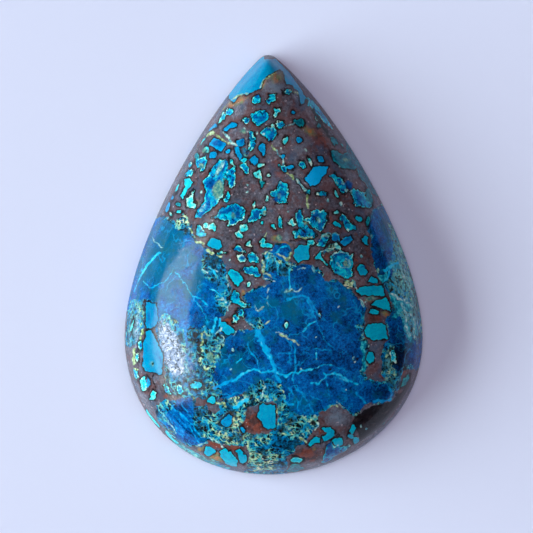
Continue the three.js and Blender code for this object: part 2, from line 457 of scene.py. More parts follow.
OCHRE_STAINS = [
    [-60, -181, 16, 9, -20, 0.6], [-44, -171, 26, 5, -8, 0.4], [83, 88, 18, 7, -60, 0.6],
    [-5, 130, 24, 6, -30, 0.3], [42, 124, 20, 10, -40, 0.45], [34, 128, 18, 10, -40, 0.6],
    [-31, 156, 26, 10, 18, 1], [-45, 151, 6, 5, 50, 1], [8, 178, 18, 14, 10, 0.85],
    [-5, 172, 6, 12, -20, 0.9], [-28, -28, 4.5, 14, -10, 1.2], [26, 2, 9, 3.5, 0, 1.1],
    [12, 20, 15, 5, -15, 0.9], [3, 25, 9, 7, 0, 0.8], [-69, 60, 6, 7, 0, 0.7],
    [-59, -183, 18, 11, -15, 1.3], [-71, -174, 12, 5, 15, 1], [106, -49, 10, 5, -20, 0.9],
    [114, -113, 12, 11, -60, 0.8], [36, -176, 5, 5, 0, 0.7], [-54, 130, 8, 4, 30, 0.6],
    [-6, -184, 3, 7, 10, 2.2], [-42, -149, 5, 18, 10, 0.5], [-19, -13, 8, 3, 0, 0.3],
    [90, -36, 12, 4, 0, 0.7], [87, -64, 2.5, 16, 10, 0.7], [98, -75, 18, 1.5, 0, 0.6],
]
# Among these, the two broad darker stains in the middle left are painted shade, and the paler ones towards
# the tip are painted light.
GREY_AND_PAINTED_SHADE_STAINS = [
    [32, -182, 36, 18, 0, -1.2], [-43, 104, 16, 12, 0, 0.3], [-19, -149, 30, 24, 0, -1.8],
    [36, 128, 26, 18, -40, 0.8], [4, 88, 14, 24, -20, 0.1], [-34, 42, 60, 50, 0, -0.9],
    [-18, 76, 50, 30, 0, -0.4], [82, 15, 40, 26, 80, -0.3], [58, -146, 24, 20, -20, 0.9],
    [-82, -122, 16, 8, 0, 0.6], [7, 168, 26, 14, 0, 1.1], [-16, 72, 10, 8, 0, 0.4],
    [14, 27, 5, 13, -10, 0.9], [26, 70, 30, 30, 0, 0.3], [80, 16, 16, 14, 0, 0.4],
    [63, 132, 12, 30, 35, 0.5], [-127, -82, 8, 40, 0, 0.6], [93, -34, 12, 4, 0, 1],
    [29, 112, 24, 18, 0, 0.8], [93, -96, 14, 34, 0, 0.25], [130, -148, 50, 20, 55, 1],
    [100, -178, 60, 18, 38, 1], [50, -202, 60, 16, 16, 0.9], [-128, -130, 70, 20, -55, 0.5],
]
# Worn, pitted speckle along the window's reflection on the left flank, painted near white as a highlight.
CHALK_AND_HIGHLIGHT_STAINS = [
    [-92, -18, 70, 30, 84, 0.2], [-84, 20, 30, 24, 60, 0.2], [-99, -74, 44, 16, -75, 1.2],
    [-94, -94, 26, 14, -70, 0.6], [-84, -88, 44, 28, -76, 0.42], [-130, -62, 70, 8, 85, 0.5],
    [-126, -160, 20, 8, -50, 0.3], [-90, -116, 24, 12, 0, 0.2],
]

# Fragments of shattuckite, by mineral: polygons and ovals.
FRAGMENTS = {
    "sky": [
        [-44, 129, -36, 136, -31, 134, -31, 132, -39, 130, -41, 126], [-11, 110, -8, 116, -4, 114, -5, 102],
        [-58, 115, -53, 122, -41, 115, -47, 108, -52, 113],
        [-34, 112, -31, 113, -28, 109, -26, 103, -28, 100, -31, 102],
        [-32, 118, -28, 120, -24, 120, -24, 114, -29, 113, -31, 114],
        [-19, 100, -15, 104, -11, 101, -12, 97, -16, 95, -18, 96],
        [-102, 56, -100, 61, -96, 62, -96, 58, -98, 53, -100, 52],
        [57, 27, 59, 29, 63, 28, 65, 22, 62, 20, 58, 22], [65, 20, 70, 25, 76, 26, 77, 22, 69, 16],
        [-52, -148, -44, -141, -41, -143, -41, -148, -46, -154, -48, -154], [-52, 133, 4.5, 3.5, 30],
        [-57, 131, 5.5, 4.5, 40], [23, 144, 3.5, 3, 0], [28, 118, 5, 4.5, 0], [12, 102, 4, 4, 0],
        [19, 92, 6, 3.2, 0], [-54, 105, 7.5, 6, 0], [-40, 108, 5, 3, 35], [48, 99, 7, 4.5, -35],
        [-31, -156, 3.5, 6, 10], [-94, 66, 3, 5, 0], [-120, -110, 3, 9, 0],
    ],
    "turquoise": [
        [0, 162, 6, 162, 6, 156, 1, 153, -4, 154, 0, 159],
        [-18, 143, -7, 147, -4, 146, 0, 139, -10, 132, -16, 136], [5, 148, 12, 148, 6, 140, 4, 140],
        [36, 159, 44, 160, 52, 152, 60, 140, 64, 128, 57, 130, 38, 150],
        [-7, 127, -4, 130, 4, 130, 8, 124, -1, 116, -2, 120, -8, 124],
        [-19, 126, -16, 126, -14, 122, -14, 114, -18, 108, -20, 110],
        [8, 94, 14, 94, 16, 92, 15, 89, 12, 88], [27, 96, 29, 98, 32, 97, 33, 91, 27, 93],
        [56, 84, 61, 86, 62, 83, 68, 81, 72, 68, 70, 66, 66, 68, 62, 78],
        [74, 68, 80, 70, 90, 66, 90, 62, 95, 55, 94, 52, 80, 54, 78, 64],
        [8, 78, 10, 79, 17, 75, 15, 58, 4, 58, 4, 63, 0, 66, 0, 69, 6, 71],
        [6, 42, 8, 46, 10, 42, 10, 34, 7, 36],
        [23, 48, 28, 51, 30, 40, 43, 27, 40, 24, 22, 25, 20, 29, 22, 32, 26, 32],
        [38, 49, 42, 51, 52, 49, 53, 40, 46, 29, 32, 42, 38, 45], [42, 17, 49, 28, 56, 26, 49, 16],
        [55, 0, 56, 8, 59, 10, 65, 12, 76, 8, 76, -12, 68, -15, 66, -12, 58, -9],
        [64, 43, 68, 46, 70, 45, 76, 36, 80, 35, 80, 32, 72, 31, 68, 40],
        [-71, 98, -68, 102, -62, 104, -60, 100, -63, 91, -66, 90, -66, 93, -70, 94],
        [-81, 86, -79, 91, -74, 92, -72, 91, -73, 88, -76, 85],
        [-46, 62, -40, 70, -39, 62, -42, 60, -45, 60], [-29, 95, -24, 96, -21, 93, -20, 90, -23, 86],
        [-40, 90, -36, 93, -33, 89, -34, 76, -36, 74, -40, 75, -40, 81, -44, 82],
        [-57, 46, -50, 48, -50, 52, -46, 55, -34, 58, -26, 55, -24, 51, -26, 44, -37, 38, -41, 38, -40, 42],
        [-70, 38, -66, 38, -64, 33, -62, 28, -66, 28, -71, 28],
        [-23, 8, -22, 11, -18, 12, -14, 10, -13, 2, -22, 4],
        [-30, -4, -26, -2, -15, -2, -11, -10, -12, -12, -20, -10],
        [-40, -30, -36, -24, -32, -26, -31, -34, -22, -38, -28, -40, -40, -34],
        [-22, 42, -18, 52, -13, 54, -10, 52, -7, 55, -5, 53, -4, 48, -6, 46, -10, 48, -10, 45, -19, 40],
        [-36, 16, -33, 19, -30, 18, -25, 12, -35, 14],
        [48, -172, 53, -171, 56, -174, 62, -175, 70, -174, 68, -178, 58, -184, 55, -192, 48, -198, 44,
         -192], [-80, -112, -75, -109, -70, -110, -69, -114, -73, -117, -79, -116], [-12, 157, 8.2, 8, 0],
        [-38, 146, 7, 6.5, 0], [-22, 137, 6.5, 6, 10], [10, 133, 8.5, 7.5, 0], [18, 164, 8, 4.8, 0],
        [48, 66, 8.5, 5, -8], [-9, 40, 2, 2, 0], [-77, 97, 5, 6, 0], [-49, 12, 7.5, 2.5, 5],
        [-36, -50, 5, 8, -10], [-30, -45, 4.5, 8, 25], [-90, -116, 5, 10, 0], [-102, -117, 3.5, 9, 25],
        [-102, -161, 4.5, 11, 40], [-133, -102, 6, 10, 15], [35, 68, 3.5, 4.5, 0], [-44, 142, 3.5, 8, -20],
        [-127, -74, 4, 8, 0], [-130, -85, 3, 8, 0], [113, -90, 5, 12, 10],
    ],
    "smooth": [
        [70, -160, 72, -154, 75, -154, 76, -158, 76, -160, 73, -162],
        [68, -164, 71, -162, 73, -163, 74, -166, 72, -168, 68, -166],
        [73, -166, 79, -166, 80, -169, 78, -172, 75, -172, 74, -170],
        [20, 7, 22, 14, 26, 18, 35, 17, 35, 4, 29, 4, 24, 1], [85, 22, 88, 26, 91, 24, 92, 16, 90, 16],
        [80, -6, 82, -2, 86, -2, 90, -8, 88, -12, 84, -12], [-42, -8, -40, -4, -36, -4, -27, -13, -34, -20],
        [-50, -60, -50, -54, -46, -54, -38, -60, -38, -64, -44, -66],
        [90, -18, 94, -14, 97, -14, 100, -17, 99, -20], [79, -26, 82, -23, 104, -22, 106, -32, 82, -30],
        [93, -40, 98, -36, 108, -34, 112, -47], [91, -48, 92, -44, 96, -44, 101, -46, 100, -49, 95, -49],
        [86, -64, 90, -58, 102, -58, 106, -60, 108, -72, 95, -74, 88, -69],
        [43, -156, 52, -155, 58, -163, 46, -169, 44, -164, 48, -163, 48, -161],
        [30, -172, 37, -164, 42, -166, 42, -170, 38, -170, 32, -174],
        [52, -168, 63, -166, 64, -172, 59, -174],
        [-38, -176, -34, -175, -28, -182, -28, -186, -31, -189, -34, -188],
        [-53, -180, -53, -176, -48, -174, -46, -177, -43, -176, -37, -186, -38, -194, -43, -194, -47, -191],
        [-68, -177, -66, -172, -58, -174, -57, -177, -64, -181, -68, -179],
        [58, 38, 61, 40, 64, 38, 66, 36, 65, 33], [91, -90, 7.2, 10.5, 0], [-60, -127, 7.5, 6.5, 0],
        [83, 42, 6.8, 4.2, -30],
    ],
    # The 'deep' fragments are painted shade: turquoise set darker on the left flank and at the tip, where
    # the side light falls strongest.
    "deep": [
        [-50, 171, -28, 200, -9, 210, -5, 199, 4, 199, 14, 205, 26, 187, 35, 158, 34, 153, 30, 152, 28, 164,
         24, 169, 16, 173, 14, 184, 10, 186, -3, 178, -8, 168, -20, 162, -28, 162, -34, 155],
        [-121, -33, -111, -35, -110, -54, -116, -58, -121, -58],
        [-120, -60, -116, -60, -105, -84, -107, -102, -123, -98, -125, -94, -124, -74],
    ],
    "plain": [
        [-14, -134, -12, -131, -8, -134, 0, -133, 0, -154, -8, -156, -17, -144],
        [-62, 20, -57, 27, -50, 24, -46, 18, -52, 15],
    ],
    "azure": [
        [32, 81, 42, 92, 56, 92, 46, 77, 42, 74, 38, 74],
    ],
    "cyan": [
        [-129, -140, -122, -148, -115, -157, -119, -161, -127, -152, -133, -144],
        [-106, -160, -102, -168, -96, -172, -100, -177, -108, -170, -111, -162],
        [-82, 82, -78, 84, -74, 80, -84, 64, -86, 67, -81, 76],
        [-12, 22, -8, 26, -6, 24, -7, 21, 0, 19, 0, 16, -10, 17],
        [41, 4, 42, 8, 47, 11, 46, 8, 54, -4, 46, 4],
        [14, -186, 16, -184, 24, -184, 26, -186, 23, -189, 15, -188], [37, 20, 6.5, 5, 0],
        [-24, 100, 6, 4, 20], [15, 118, 3.8, 6, -20], [-64, 120, 9, 3, 50], [-60, 111, 4, 6.5, 30],
        [-89, 76, 2.5, 9, -15], [59, 105, 2.5, 2.5, 0], [62, 66, 3, 6.5, 25], [-59, -188, 11, 2.5, -20],
    ],
    "pale": [
        [-80, 60, -80, 64, -73, 72, -74, 60, -71, 58, -72, 55, -80, 56],
        [-34, 30, -31, 33, -28, 28, -28, 26, -32, 26], [-16, 88, -9, 89, -8, 80, -15, 84],
        [-26, 20, -21, 22, -20, 24, -20, 20, -18, 16, -20, 18, -24, 18],
        [16, 40, 20, 44, 23, 38, 20, 36, 16, 38], [58, 18, 62, 18, 66, 16, 65, 14, 62, 14, 59, 16],
        [-34, 10, -28, 10, -25, 6, -26, 3, -30, 3],
        [-128, -110, -127, -105, -123, -104, -121, -115, -124, -118, -126, -117],
        [-119, -125, -116, -116, -113, -120, -114, -126], [-26, 35, 7.5, 7, 0], [-9, 94, 6.8, 3.4, 28],
        [-56, 37, 7.5, 6.5, -20], [38, 97, 2.8, 7.5, 25], [-23, -18, 4.2, 4.2, 0], [-2, 85, 3.2, 3.6, 0],
        [-16, 56, 2.2, 5.5, 0], [2, 36, 2.8, 5, 35], [-70, 111, 1.5, 3, 0], [62, 48, 5, 3.2, 0],
        [46, 138, 4.5, 2.2, -40], [-135, -56, 2.5, 10, -15], [-95, 50, 2, 4, 0], [-4, 63, 3, 5, 10],
        [-62, 38, 5, 4, 0], [-46, 138, 2.5, 4, -15], [3, 132, 3, 2.5, 0], [-87, 52, 4, 2.2, 0],
        [44, -48, 2, 5.5, 0], [12, -57, 3.5, 5.5, 0], [-36, 97, 2.5, 9, 30],
    ],
    "teal": [
        [57, 107, 60, 108, 70, 103, 76, 107, 82, 104, 84, 95, 80, 89, 68, 91, 60, 98],
        [74, 107, 84, 126, 98, 124, 114, 106, 124, 84, 118, 68, 98, 68, 86, 80],
        [57, 120, 60, 121, 63, 118, 64, 114, 62, 112], [-10, 80, -5, 78, -7, 75, -9, 72, -10, 76],
        [14, -190, 22, -190, 28, -202, 20, -210, 10, -205], [29, 134, 8.5, 7, -15], [47, 131, 3.2, 4.5, 15],
        [69, 114, 3, 6, 20], [125, -113, 11.5, 5.2, 55], [105, -152, 4, 11, -12], [-88, 59, 4, 4, 0],
        [94, 63, 5, 15, 12], [-70, 105, 4.5, 5, 0], [25, 136, 4, 3, 0], [68, -175, 3.5, 3, 0],
        [92, 40, 3.5, 9, -10],
    ],
    "banded": [
        [-48, 101, -42, 100, -39, 90, -40, 86, -44, 84, -46, 66, -54, 56, -67, 46, -72, 46, -72, 50, -65,
         58, -61, 70, -64, 80],
    ],
}

# Ovals of blue azurite and of muted green chrysocolla inside the fragments.
AZURITE_CORES = [
    [-8, 139, 6.5, 6, 20], [-2, 128, 9, 3, 10], [3, 126, 4, 4, 0], [-41, 52, 19, 5, 18], [-32, 48, 5, 8, 0],
    [-14, 48, 6.5, 6.5, 0], [-19, 44, 4.5, 3.6, 0], [-30, 15, 7, 3.5, -20], [-19, 8, 4, 3, 0],
    [-28, 7, 5, 4, -20], [10, 68, 8, 4.5, 0], [5, 62, 5, 5, 0], [10, 75, 5, 3, -40], [26, 46, 3.5, 7, 0],
    [32, 31, 10, 4, -20], [46, 36, 8, 3, -50], [44, 47, 10, 3, 0], [46, 22, 3.5, 3, 0], [61, 24, 5, 5, 0],
    [71, 22, 8, 2.5, 30], [64, 8, 10, 3, 0], [59, 3, 3, 6, 0], [86, -4, 4, 2, 0], [83, 63, 9, 4, -50],
    [-22, -6, 10, 2.5, -10], [52, -177, 4, 13, 5], [57, -180, 6, 3, -50], [-49, 116, 12, 6, -10],
    [-56, 78, 9, 10, 0], [-45, 93, 5, 14, -25], [-66, 49, 7, 4, 35], [-35, -8, 7, 2, -25],
    [74, 74, 8, 9, 0], [-18, 121, 2.5, 7, 0], [-26, 117, 3.5, 6, 0], [68, 41, 4, 3, -50],
    [-118, -47, 2.5, 8, 10], [-108, -89, 1.2, 9, 15],
]
GREEN_CORES = [
    [-50, 72, 10, 18, -15], [-48, 92, 3, 12, -25], [44, 42, 3, 5, 0], [70, 0, 4, 6, 0], [8, 65, 2.5, 4, 0],
    [-36, 47, 4, 4.5, 0], [51, 26, 6, 3, 0], [72, 98, 6, 4, 0], [7, 25, 5, 6, 0], [-6, 49, 4, 4, 0],
    [32, 38, 3, 4, 0], [-65, 95, 5, 5, 0], [-116, -92, 2.8, 5, 0], [16, -25, 7, 3, 0], [-60, -86, 7, 8, 30],
    [-62, 110, 3, 4, 0], [93, -34, 10, 3.5, 0], [-25, 127, 5, 4, 0], [-59, 109, 3, 2.5, 0],
]

# Torn shreds of turquoise that run along the lacework on the right.
RAGGED_PATCHES = [
    [104, -8, 109, -5, 112, 1, 119, 0, 122, -6, 114, -5, 108, -9],
    [99, -12, 104, -20, 110, -17, 109, -9, 105, -12],
    [110, -28, 118, -31, 127, -40, 134, -43, 128, -47, 122, -46, 118, -53, 113, -52, 117, -44, 112, -37],
    [122, -52, 128, -56, 131, -70, 134, -78, 128, -74, 124, -66], [131, -52, 138, -58, 140, -72, 135, -70],
    [82, -74, 87, -75, 86, -88, 87, -104, 83, -104, 84, -90],
]
# Veins and other lines.
BLUE_BANDS = [
    [6, -15, -63, -9, -77], [5, -10, -75, -4, -87], [3.8, -4, -86, 1, -101], [3, 2, -100, 2, -105, 5, -111],
    [3, -57, -116, -40, -108],
    [1.4, 16, -73, 20, -80, 20, -98, 17, -110, 20, -117, 31, -130, 36, -141],
    [1.4, 20, -118, 29, -124, 46, -130], [1.4, 13, -117, 22, -130, 22, -138],
    [1.4, 8, -128, 12, -132, 19, -134], [1.2, 49, -108, 52, -128], [1.4, 33, -34, 48, -72, 58, -82],
    [1.6, 13, -34, 20, -31, 28, -30, 33, -32, 44, -50], [1.2, -25, -74, -22, -82, -16, -90, -15, -97],
    [1, 2, -86, 8, -84, 17, -84], [1, 31, -82, 40, -81, 52, -82], [1, 52, -96, 66, -101],
    [1.4, -99, -132, -82, -147, -70, -164], [1.2, -90, -129, -80, -143], [1.2, -104, -139, -88, -163],
    [1.2, -83, -149, -73, -168], [2.5, 93, -132, 109, -131, 111, -126, 110, -120], [2, 77, -123, 86, -133],
]
CYAN_VEINS = [
    [2.4, 107, -8, 112, -3, 120, -1], [1.6, 112, -3, 111, -12, 106, -18],
    [1.2, 112, -20, 118, -24, 121, -30],
    [0.8, -92, -5, -84, -15, -78, -26, -71, -36, -65, -45, -62, -54],
    [1, -76, -28, -68, -31, -62, -38], [0.8, -123, -13, -116, -20, -104, -15, -99, -11, -94, -3],
    [2.2, -40, -110, -29, -102], [2, -32, -104, -19, -98, -13, -102, -1, -100],
    [1.4, -12, -73, -10, -81, -4, -88, 0, -100],
    [1.8, 2, -102, 10, -106, 19, -102, 23, -104, 26, -101, 35, -100],
    [1.4, 35, -100, 46, -96, 54, -96],
    [1.8, 46, -103, 49, -106, 57, -104, 61, -105, 75, -114, 79, -115],
    [1.2, 58, -108, 70, -112], [1.2, 49, -107, 40, -115], [1.8, 34, -113, 37, -112, 40, -114],
    [1.4, 40, -54, 34, -57, 28, -64], [1.2, 40, -80, 40, -90], [2, -136, -22, -117, 4, -107, 14],
    [1.4, -129, -8, -128, -4, -125, -1, -123, -4, -126, -8], [2, -54, -49, -58, -62],
    [2, -50, -50, -51, -57], [3, -39, -135, -35, -134, -31, -129, -26, -128], [1.4, 14, 17, 8, 16, 4, 11],
    [1.4, -6, 9, -4, 3, -6, -3], [1.4, 16, -4, 16, -23], [1.4, 3, 6, 6, -1, 5, -9],
    [1.6, -60, -1, -55, -6, -52, -12], [1.4, -59, -22, -52, -25, -48, -30], [1.4, -36, -92, -30, -89],
    [1.4, 84, -62, 78, -59],
]
FROST_VEINS = [
    [2.4, 112, -30, 133, -42], [2.6, 122, -40, 127, -50, 125, -60, 129, -70],
    [2.4, 131, -50, 135, -58, 133, -68, 137, -78], [2, 120, 4, 126, -18], [2, 128, -6, 131, -20, 137, -32],
    [2, 140, -40, 139, -54, 143, -64], [2, 122, 16, 136, -10],
    [1.2, 45, 22, 49, 27, 54, 29, 60, 29, 64, 27], [1, 47, 11, 53, 14, 59, 14],
    [1, 56, 7, 60, 10, 66, 11, 74, 8], [2.2, -44, 126, -40, 123, -36, 116, -31, 114],
    [1.6, 6, 108, 10, 102], [1.4, 12, 100, 13, 96, 11, 94], [2, 25, 80, 33, 70], [1.2, 13, 50, 16, 50],
    [1, 14, 130, 24, 134], [1.4, -68, 52, -62, 59, -63, 55, -66, 52],
    [1.2, -54, 86, -51, 88, -44, 100, -44, 96, -50, 87], [1.6, 62, 0, 65, -4, 72, -4, 74, -1, 73, 3, 70, 4],
    [1.4, 44, 44, 46, 44, 45, 38], [1.6, 38, -2, 40, -8], [1.2, -10, -12, 3, -16],
    [1.6, 11, -26, 18, -24, 23, -26, 28, -22], [1.2, -4, -22, -6, -36, -4, -39], [1.2, 23, -5, 32, -4],
    [1.4, -60, -2, -51, -6], [1.2, -67, -2, -64, -6, -61, -6], [1.4, -43, -7, -43, -12, -41, -16, -43, -21],
    [1, -117, 30, -103, 17], [1.2, -52, -32, -46, -33, -44, -35, -49, -30], [1.6, -44, -43, -40, -34],
    [1.4, -28, -51, -19, -58], [1.2, -30, -61, -28, -64], [1.4, -36, -62, -38, -66],
    [1.4, -49, -66, -47, -69, -49, -73], [1.6, -55, -64, -51, -62, -49, -59],
    [1.2, 2, -64, 8, -65, 12, -68], [1.2, 22, -74, 25, -76], [1.2, 76, -89, 74, -91, 76, -94, 78, -92],
    [1.6, 82, -34, 86, -41], [1.4, -75, -171, -65, -167], [1.6, -64, -163, -58, -165, -49, -173],
    [1.4, -9, -115, -13, -127], [2, -7, -128, -3, -128], [1.4, 40, -150, 41, -153, 38, -158],
    [1.4, -108, -138, -94, -159], [1.2, 59, -131, 62, -135, 66, -137], [1.4, 78, -19, 78, -23, 80, -25],
    [1.2, -17, -39, -14, -43, -10, -40],
]
CREAM_VEINS = [
    [2, -9, 5, -8, 0, -9, -7], [1.6, -6, -8, -1, -12], [1.2, 25, 26, 31, 24, 38, 25],
    [1.4, -36, 158, -28, 162, -20, 163], [1.2, -8, 170, -4, 176, 9, 183], [1.2, 20, 165, 28, 162],
    [2, -55, 128, -40, 116, -36, 117], [2, -60, 124, -56, 126], [1.6, 2, 113, 6, 107], [2, 20, 84, 21, 81],
    [1.6, 16, 87, 18, 85], [1.4, 35, 65, 34, 60, 35, 53], [1.2, -6, 27, -5, 31], [2, -72, 23, -65, 22],
    [2.6, -61, 15, -58, 12, -56, 12], [1.4, -52, 10, -48, 8], [1.4, -78, 36, -75, 32], [1.4, -8, 10, 0, 14],
    [1.6, 5, 10, 14, 4], [1.6, 13, 6, 16, 5, 18, 11], [1.2, -10, -5, -8, -9],
    [1.4, 6, -66, 20, -73, 24, -77], [1.4, -8, -56, -4, -54], [2, 69, -18, 73, -20, 77, -18],
    [2, -56, -130, -50, -130, -47, -133], [2, -127, -67, -124, -63, -125, -59],
    [2.5, -133, -78, -134, -84, -133, -91], [1.4, 23, -164, 26, -168, 29, -169],
    [1.6, -67, -95, -65, -98, -61, -97], [1.6, -68, -65, -67, -71, -69, -76],
    [1, -10, -43, -9, -40, -13, -43, -16, -42], [1.6, -133, -96, -130, -98], [1.4, 2, -142, 2, -137],
    [1.4, 53, -136, 57, -134, 60, -136],
]
SOOT_LINES = [
    [1.6, 110, -12, 114, -20, 112, -28], [1.2, 123, -10, 127, -22, 125, -28], [1, 134, -24, 137, -36],
    [1.6, 21, 83, 29, 72, 34, 68, 35, 65], [1.2, 22, 86, 35, 70], [1.2, -73, 74, -82, 65, -82, 61],
    [1.6, -72, 72, -72, 64, -70, 59], [1.2, -82, 63, -86, 63], [1.2, -60, 110, -65, 105],
    [1.6, 22, 33, 28, 34, 32, 30], [1.2, 22, 50, 25, 52, 29, 52, 30, 48], [1.2, 54, 49, 54, 40, 50, 34],
    [1.6, 49, 14, 55, 20, 61, 20, 67, 15], [1.4, 54, 25, 56, 20, 55, 15], [1.4, 66, 48, 72, 46, 79, 36],
    [1.2, 18, 22, 30, 22, 36, 20, 40, 16], [1.2, 75, 10, 77, 6], [1.4, -115, -102, -116, -107, -111, -121],
    [2.6, 42, 147, 58, 118], [1.4, 72, 76, 73, 69, 77, 66], [1, 42, 45, 42, 39], [1.2, -50, 10, -55, 14],
    [1.4, 94, -42, 98, -44], [1.2, -63, -140, -57, -144], [1.2, -77, -142, -71, -148],
    [1.2, -69, -155, -65, -159], [1.6, 15, -182, 26, -184, 26, -188], [1.2, 14, -188, 22, -190],
    [1.2, -106, -102, -103, -116], [1.4, -17, 90, -12, 90], [1.2, -43, -2, -44, -9, -42, -15],
    [1, -5, -10, -9, -5], [1.4, 59, -160, 61, -164, 52, -168],
]
# Small dark pits and grains, and small pale ones.
SOOT_DOTS = [
    [-4, 2, 2.6], [-6, -6, 2.2], [1, -7, 2], [-11, 1, 2], [36, 27, 2], [50, 19, 2.2], [62, 21, 2],
    [24, 36, 1.8], [-12, 86, 2.3], [-26, 36, 2.3], [-54, 38, 2.7], [-28, 48, 2], [-20, 8, 2],
    [-75, 28, 2.1], [-72, 23, 2.4], [73, 70, 3], [-124, -108, 1.9], [-116, -92, 2.4], [-4, 49, 1.5],
    [-70, -74, 5.2], [-71, -79, 5], [-70, -84, 3.5], [-53, -65, 3.9], [-74, -65, 4.5], [-63, -96, 2.3],
    [-57, -86, 2.2], [-44, -18, 2.4], [79, -91, 3], [53, -100, 2], [-93, -110, 1.7], [-38, -55, 2.4],
    [-124, -60, 2.4], [18, -25, 2.5], [120, -32, 3.2], [125, -33, 2.4], [117, -39, 3.2], [126, -49, 3.9],
    [131, -66, 3.2], [124, -102, 3.5], [116, -126, 3.9], [-7, 8, 3.2], [-10, -4, 2.2], [-13, -120, 2.7],
    [-23, -127, 2.4], [-9, -176, 2.2], [-22, -182, 3.2], [5, -158, 2.5], [13, -149, 2], [-52, -159, 2.4],
    [-67, -156, 3.5], [-43, -166, 3.5], [4, -182, 3.9], [36, -151, 5.3], [-29, -34, 2], [-62, -139, 3.9],
]
FROST_DOTS = [
    [-8, 2, 2.8], [-5, 6, 2.2], [-9, -4, 2.4], [24, 44, 1.8], [40, 48, 1.8], [57, 26, 1.8], [68, 24, 1.8],
    [-24, 130, 2.5], [-20, 127, 2.7], [-12, 125, 3.1], [69, 76, 3.2], [72, 69, 2.7], [76, 68, 2.5],
    [9, 77, 2.9], [54, 60, 2.6], [67, 56, 2.5], [85, 6, 2.7], [-40, 5, 2.4], [-10, 33, 2.1], [10, 110, 2.1],
    [34, 108, 2.3], [66, 92, 2], [40, -69, 2.2], [40, -90, 1.9], [25, -100, 2.2], [-41, -98, 2.6],
    [-39, -80, 2.7], [2, 128, 2.5], [-6, 124, 3.3], [-8, 54, 2.4], [88, -37, 2.1], [37, -144, 2.1],
    [87, -158, 2.2], [81, -155, 2.4], [59, -173, 2], [70, -174, 2.4], [79, -166, 1.8], [-10, -131, 1.4],
    [-99, 46, 2.8], [-22, 76, 2.2], [-23, 69, 2.3], [-66, 70, 2.8], [90, -79, 2.2], [68, -120, 2],
    [62, -41, 2.2], [127, -35, 2.4], [131, -45, 2.8],
]
# How each kind of fragment looks: its place on the blue-to-pale scale, its hue from green (-1)
# over turquoise (0) to sky blue (1), and how busy its insides are.
MINERALS = {
    "teal": (0.3, -1.0, 0.6),
    "turquoise": (0.38, 0.0, 1.0),
    "smooth": (0.44, 0.0, 0.2),
    "plain": (0.39, 0.0, 0.1),
    # 'deep' is turquoise painted darker as shade, on the left flank and at the tip.
    "deep": (0.29, -0.25, 0.1),
    "azure": (0.74, 1.0, 0.1),
    "banded": (0.3, 0.1, 1.0),
    "sky": (0.42, 1.0, 0.3),
    "cyan": (0.62, 0.0, 0.4),
    "pale": (0.72, 0.0, 0.5),
}
# The soft stains, by the value that they add to.
STAINS = {
    "azurite_depth_and_shade": AZURITE_DEPTHS_AND_SHADE,
    "striped": STRIPED_PATCHES,
    "teal": TEAL_STAINS,
    "warmth": WARM_STAINS,
    "mint": MINT_STAINS,
    "rust": RUST_STAINS,
    "ochre": OCHRE_STAINS,
    "grey": GREY_AND_PAINTED_SHADE_STAINS,
    "chalk_and_highlight": CHALK_AND_HIGHLIGHT_STAINS,
}
FAR = 0.6  # distances to an edge are kept within this, in millimetres
EDGE_WANDER = 0.05  # how far the drawn edges wander
SOFT_STAIN = 1.6  # a stain fades out at this many times its oval
LINE_SWELL = 0.12  # how much a line's width comes and goes, as a share of it
TONE_SPREAD = 0.06  # how far a fragment's tone may differ from its kind's
WANDER_SEEDS = (1, 5)
SWELL_SEED = 9
TONE_SEED = 3
# The markings give way to random ones between these heights on the wall, in millimetres.
PLACED_FROM = 0.15
PLACED_TO = 0.8


def distance_to_edge(places, start, end):
    """How far each place lies from the straight line between two points."""
    edge = end - start
    arm = places - start
    share = np.clip(arm @ edge / (edge @ edge), 0, 1)
    gap = arm - share[:, None] * edge
    return np.hypot(gap[:, 0], gap[:, 1])


class Polygon:
    """An outline with straight edges, from x, y, x, y..."""

    def __init__(self, numbers):
        self.corners = np.reshape(numbers, (-1, 2)) / 10
        self.low = self.corners.min(axis=0)
        self.high = self.corners.max(axis=0)

    def depth(self, places):
        """How deep each place lies inside, in millimetres; below 0 outside."""
        nearest = np.full(len(places), np.inf)
        inside = np.zeros(len(places), dtype=bool)
        for start, end in zip(self.corners, np.roll(self.corners, -1, axis=0)):
            nearest = np.minimum(nearest, distance_to_edge(places, start, end))
            edge = end - start
            arm = places - start
            spans = (start[1] > places[:, 1]) != (end[1] > places[:, 1])
            side = arm[:, 0] * edge[1] - arm[:, 1] * edge[0]
            inside ^= spans & ((side < 0) == (edge[1] > 0))
        return np.where(inside, nearest, -nearest)


class Oval:
    """An ellipse, from its centre, length, width and turn."""

    def __init__(self, x, y, length, width, turn=0):
        self.centre = np.array([x, y]) / 10
        self.half = np.array([length, width]) / 20
        self.angle = math.radians(turn)
        self.low = self.centre - self.half.max()
        self.high = self.centre + self.half.max()

    def share_out(self, places):
        """How far out each place lies, with the rim at 1."""
        arm = places - self.centre
        across = arm[:, 0] * math.cos(self.angle) + arm[:, 1] * math.sin(self.angle)
        up = arm[:, 1] * math.cos(self.angle) - arm[:, 0] * math.sin(self.angle)
        return np.hypot(across / self.half[0], up / self.half[1])

    def depth(self, places):
        """How deep each place lies inside, measured along the short half."""
        return (1 - self.share_out(places)) * self.half.min()


class Line:
    """A line of one width through several points."""

    def __init__(self, width, *numbers):
        self.width = width / 10
        self.points = np.reshape(numbers, (-1, 2)) / 10
        self.low = self.points.min(axis=0)
        self.high = self.points.max(axis=0)

    def depth(self, places):
        """How deep each place lies inside the line's width."""
        nearest = np.full(len(places), np.inf)
        for start, end in zip(self.points[:-1], self.points[1:]):
            nearest = np.minimum(nearest, distance_to_edge(places, start, end))
        return self.width / 2 - nearest


def ovals(groups):
    return [Oval(*group) for group in groups]


def dots(groups):
    return [Oval(x, y, size, size) for x, y, size in groups]


def lines(groups):
    return [Line(*group) for group in groups]


def polygons(groups):
    return [Polygon(group) for group in groups]


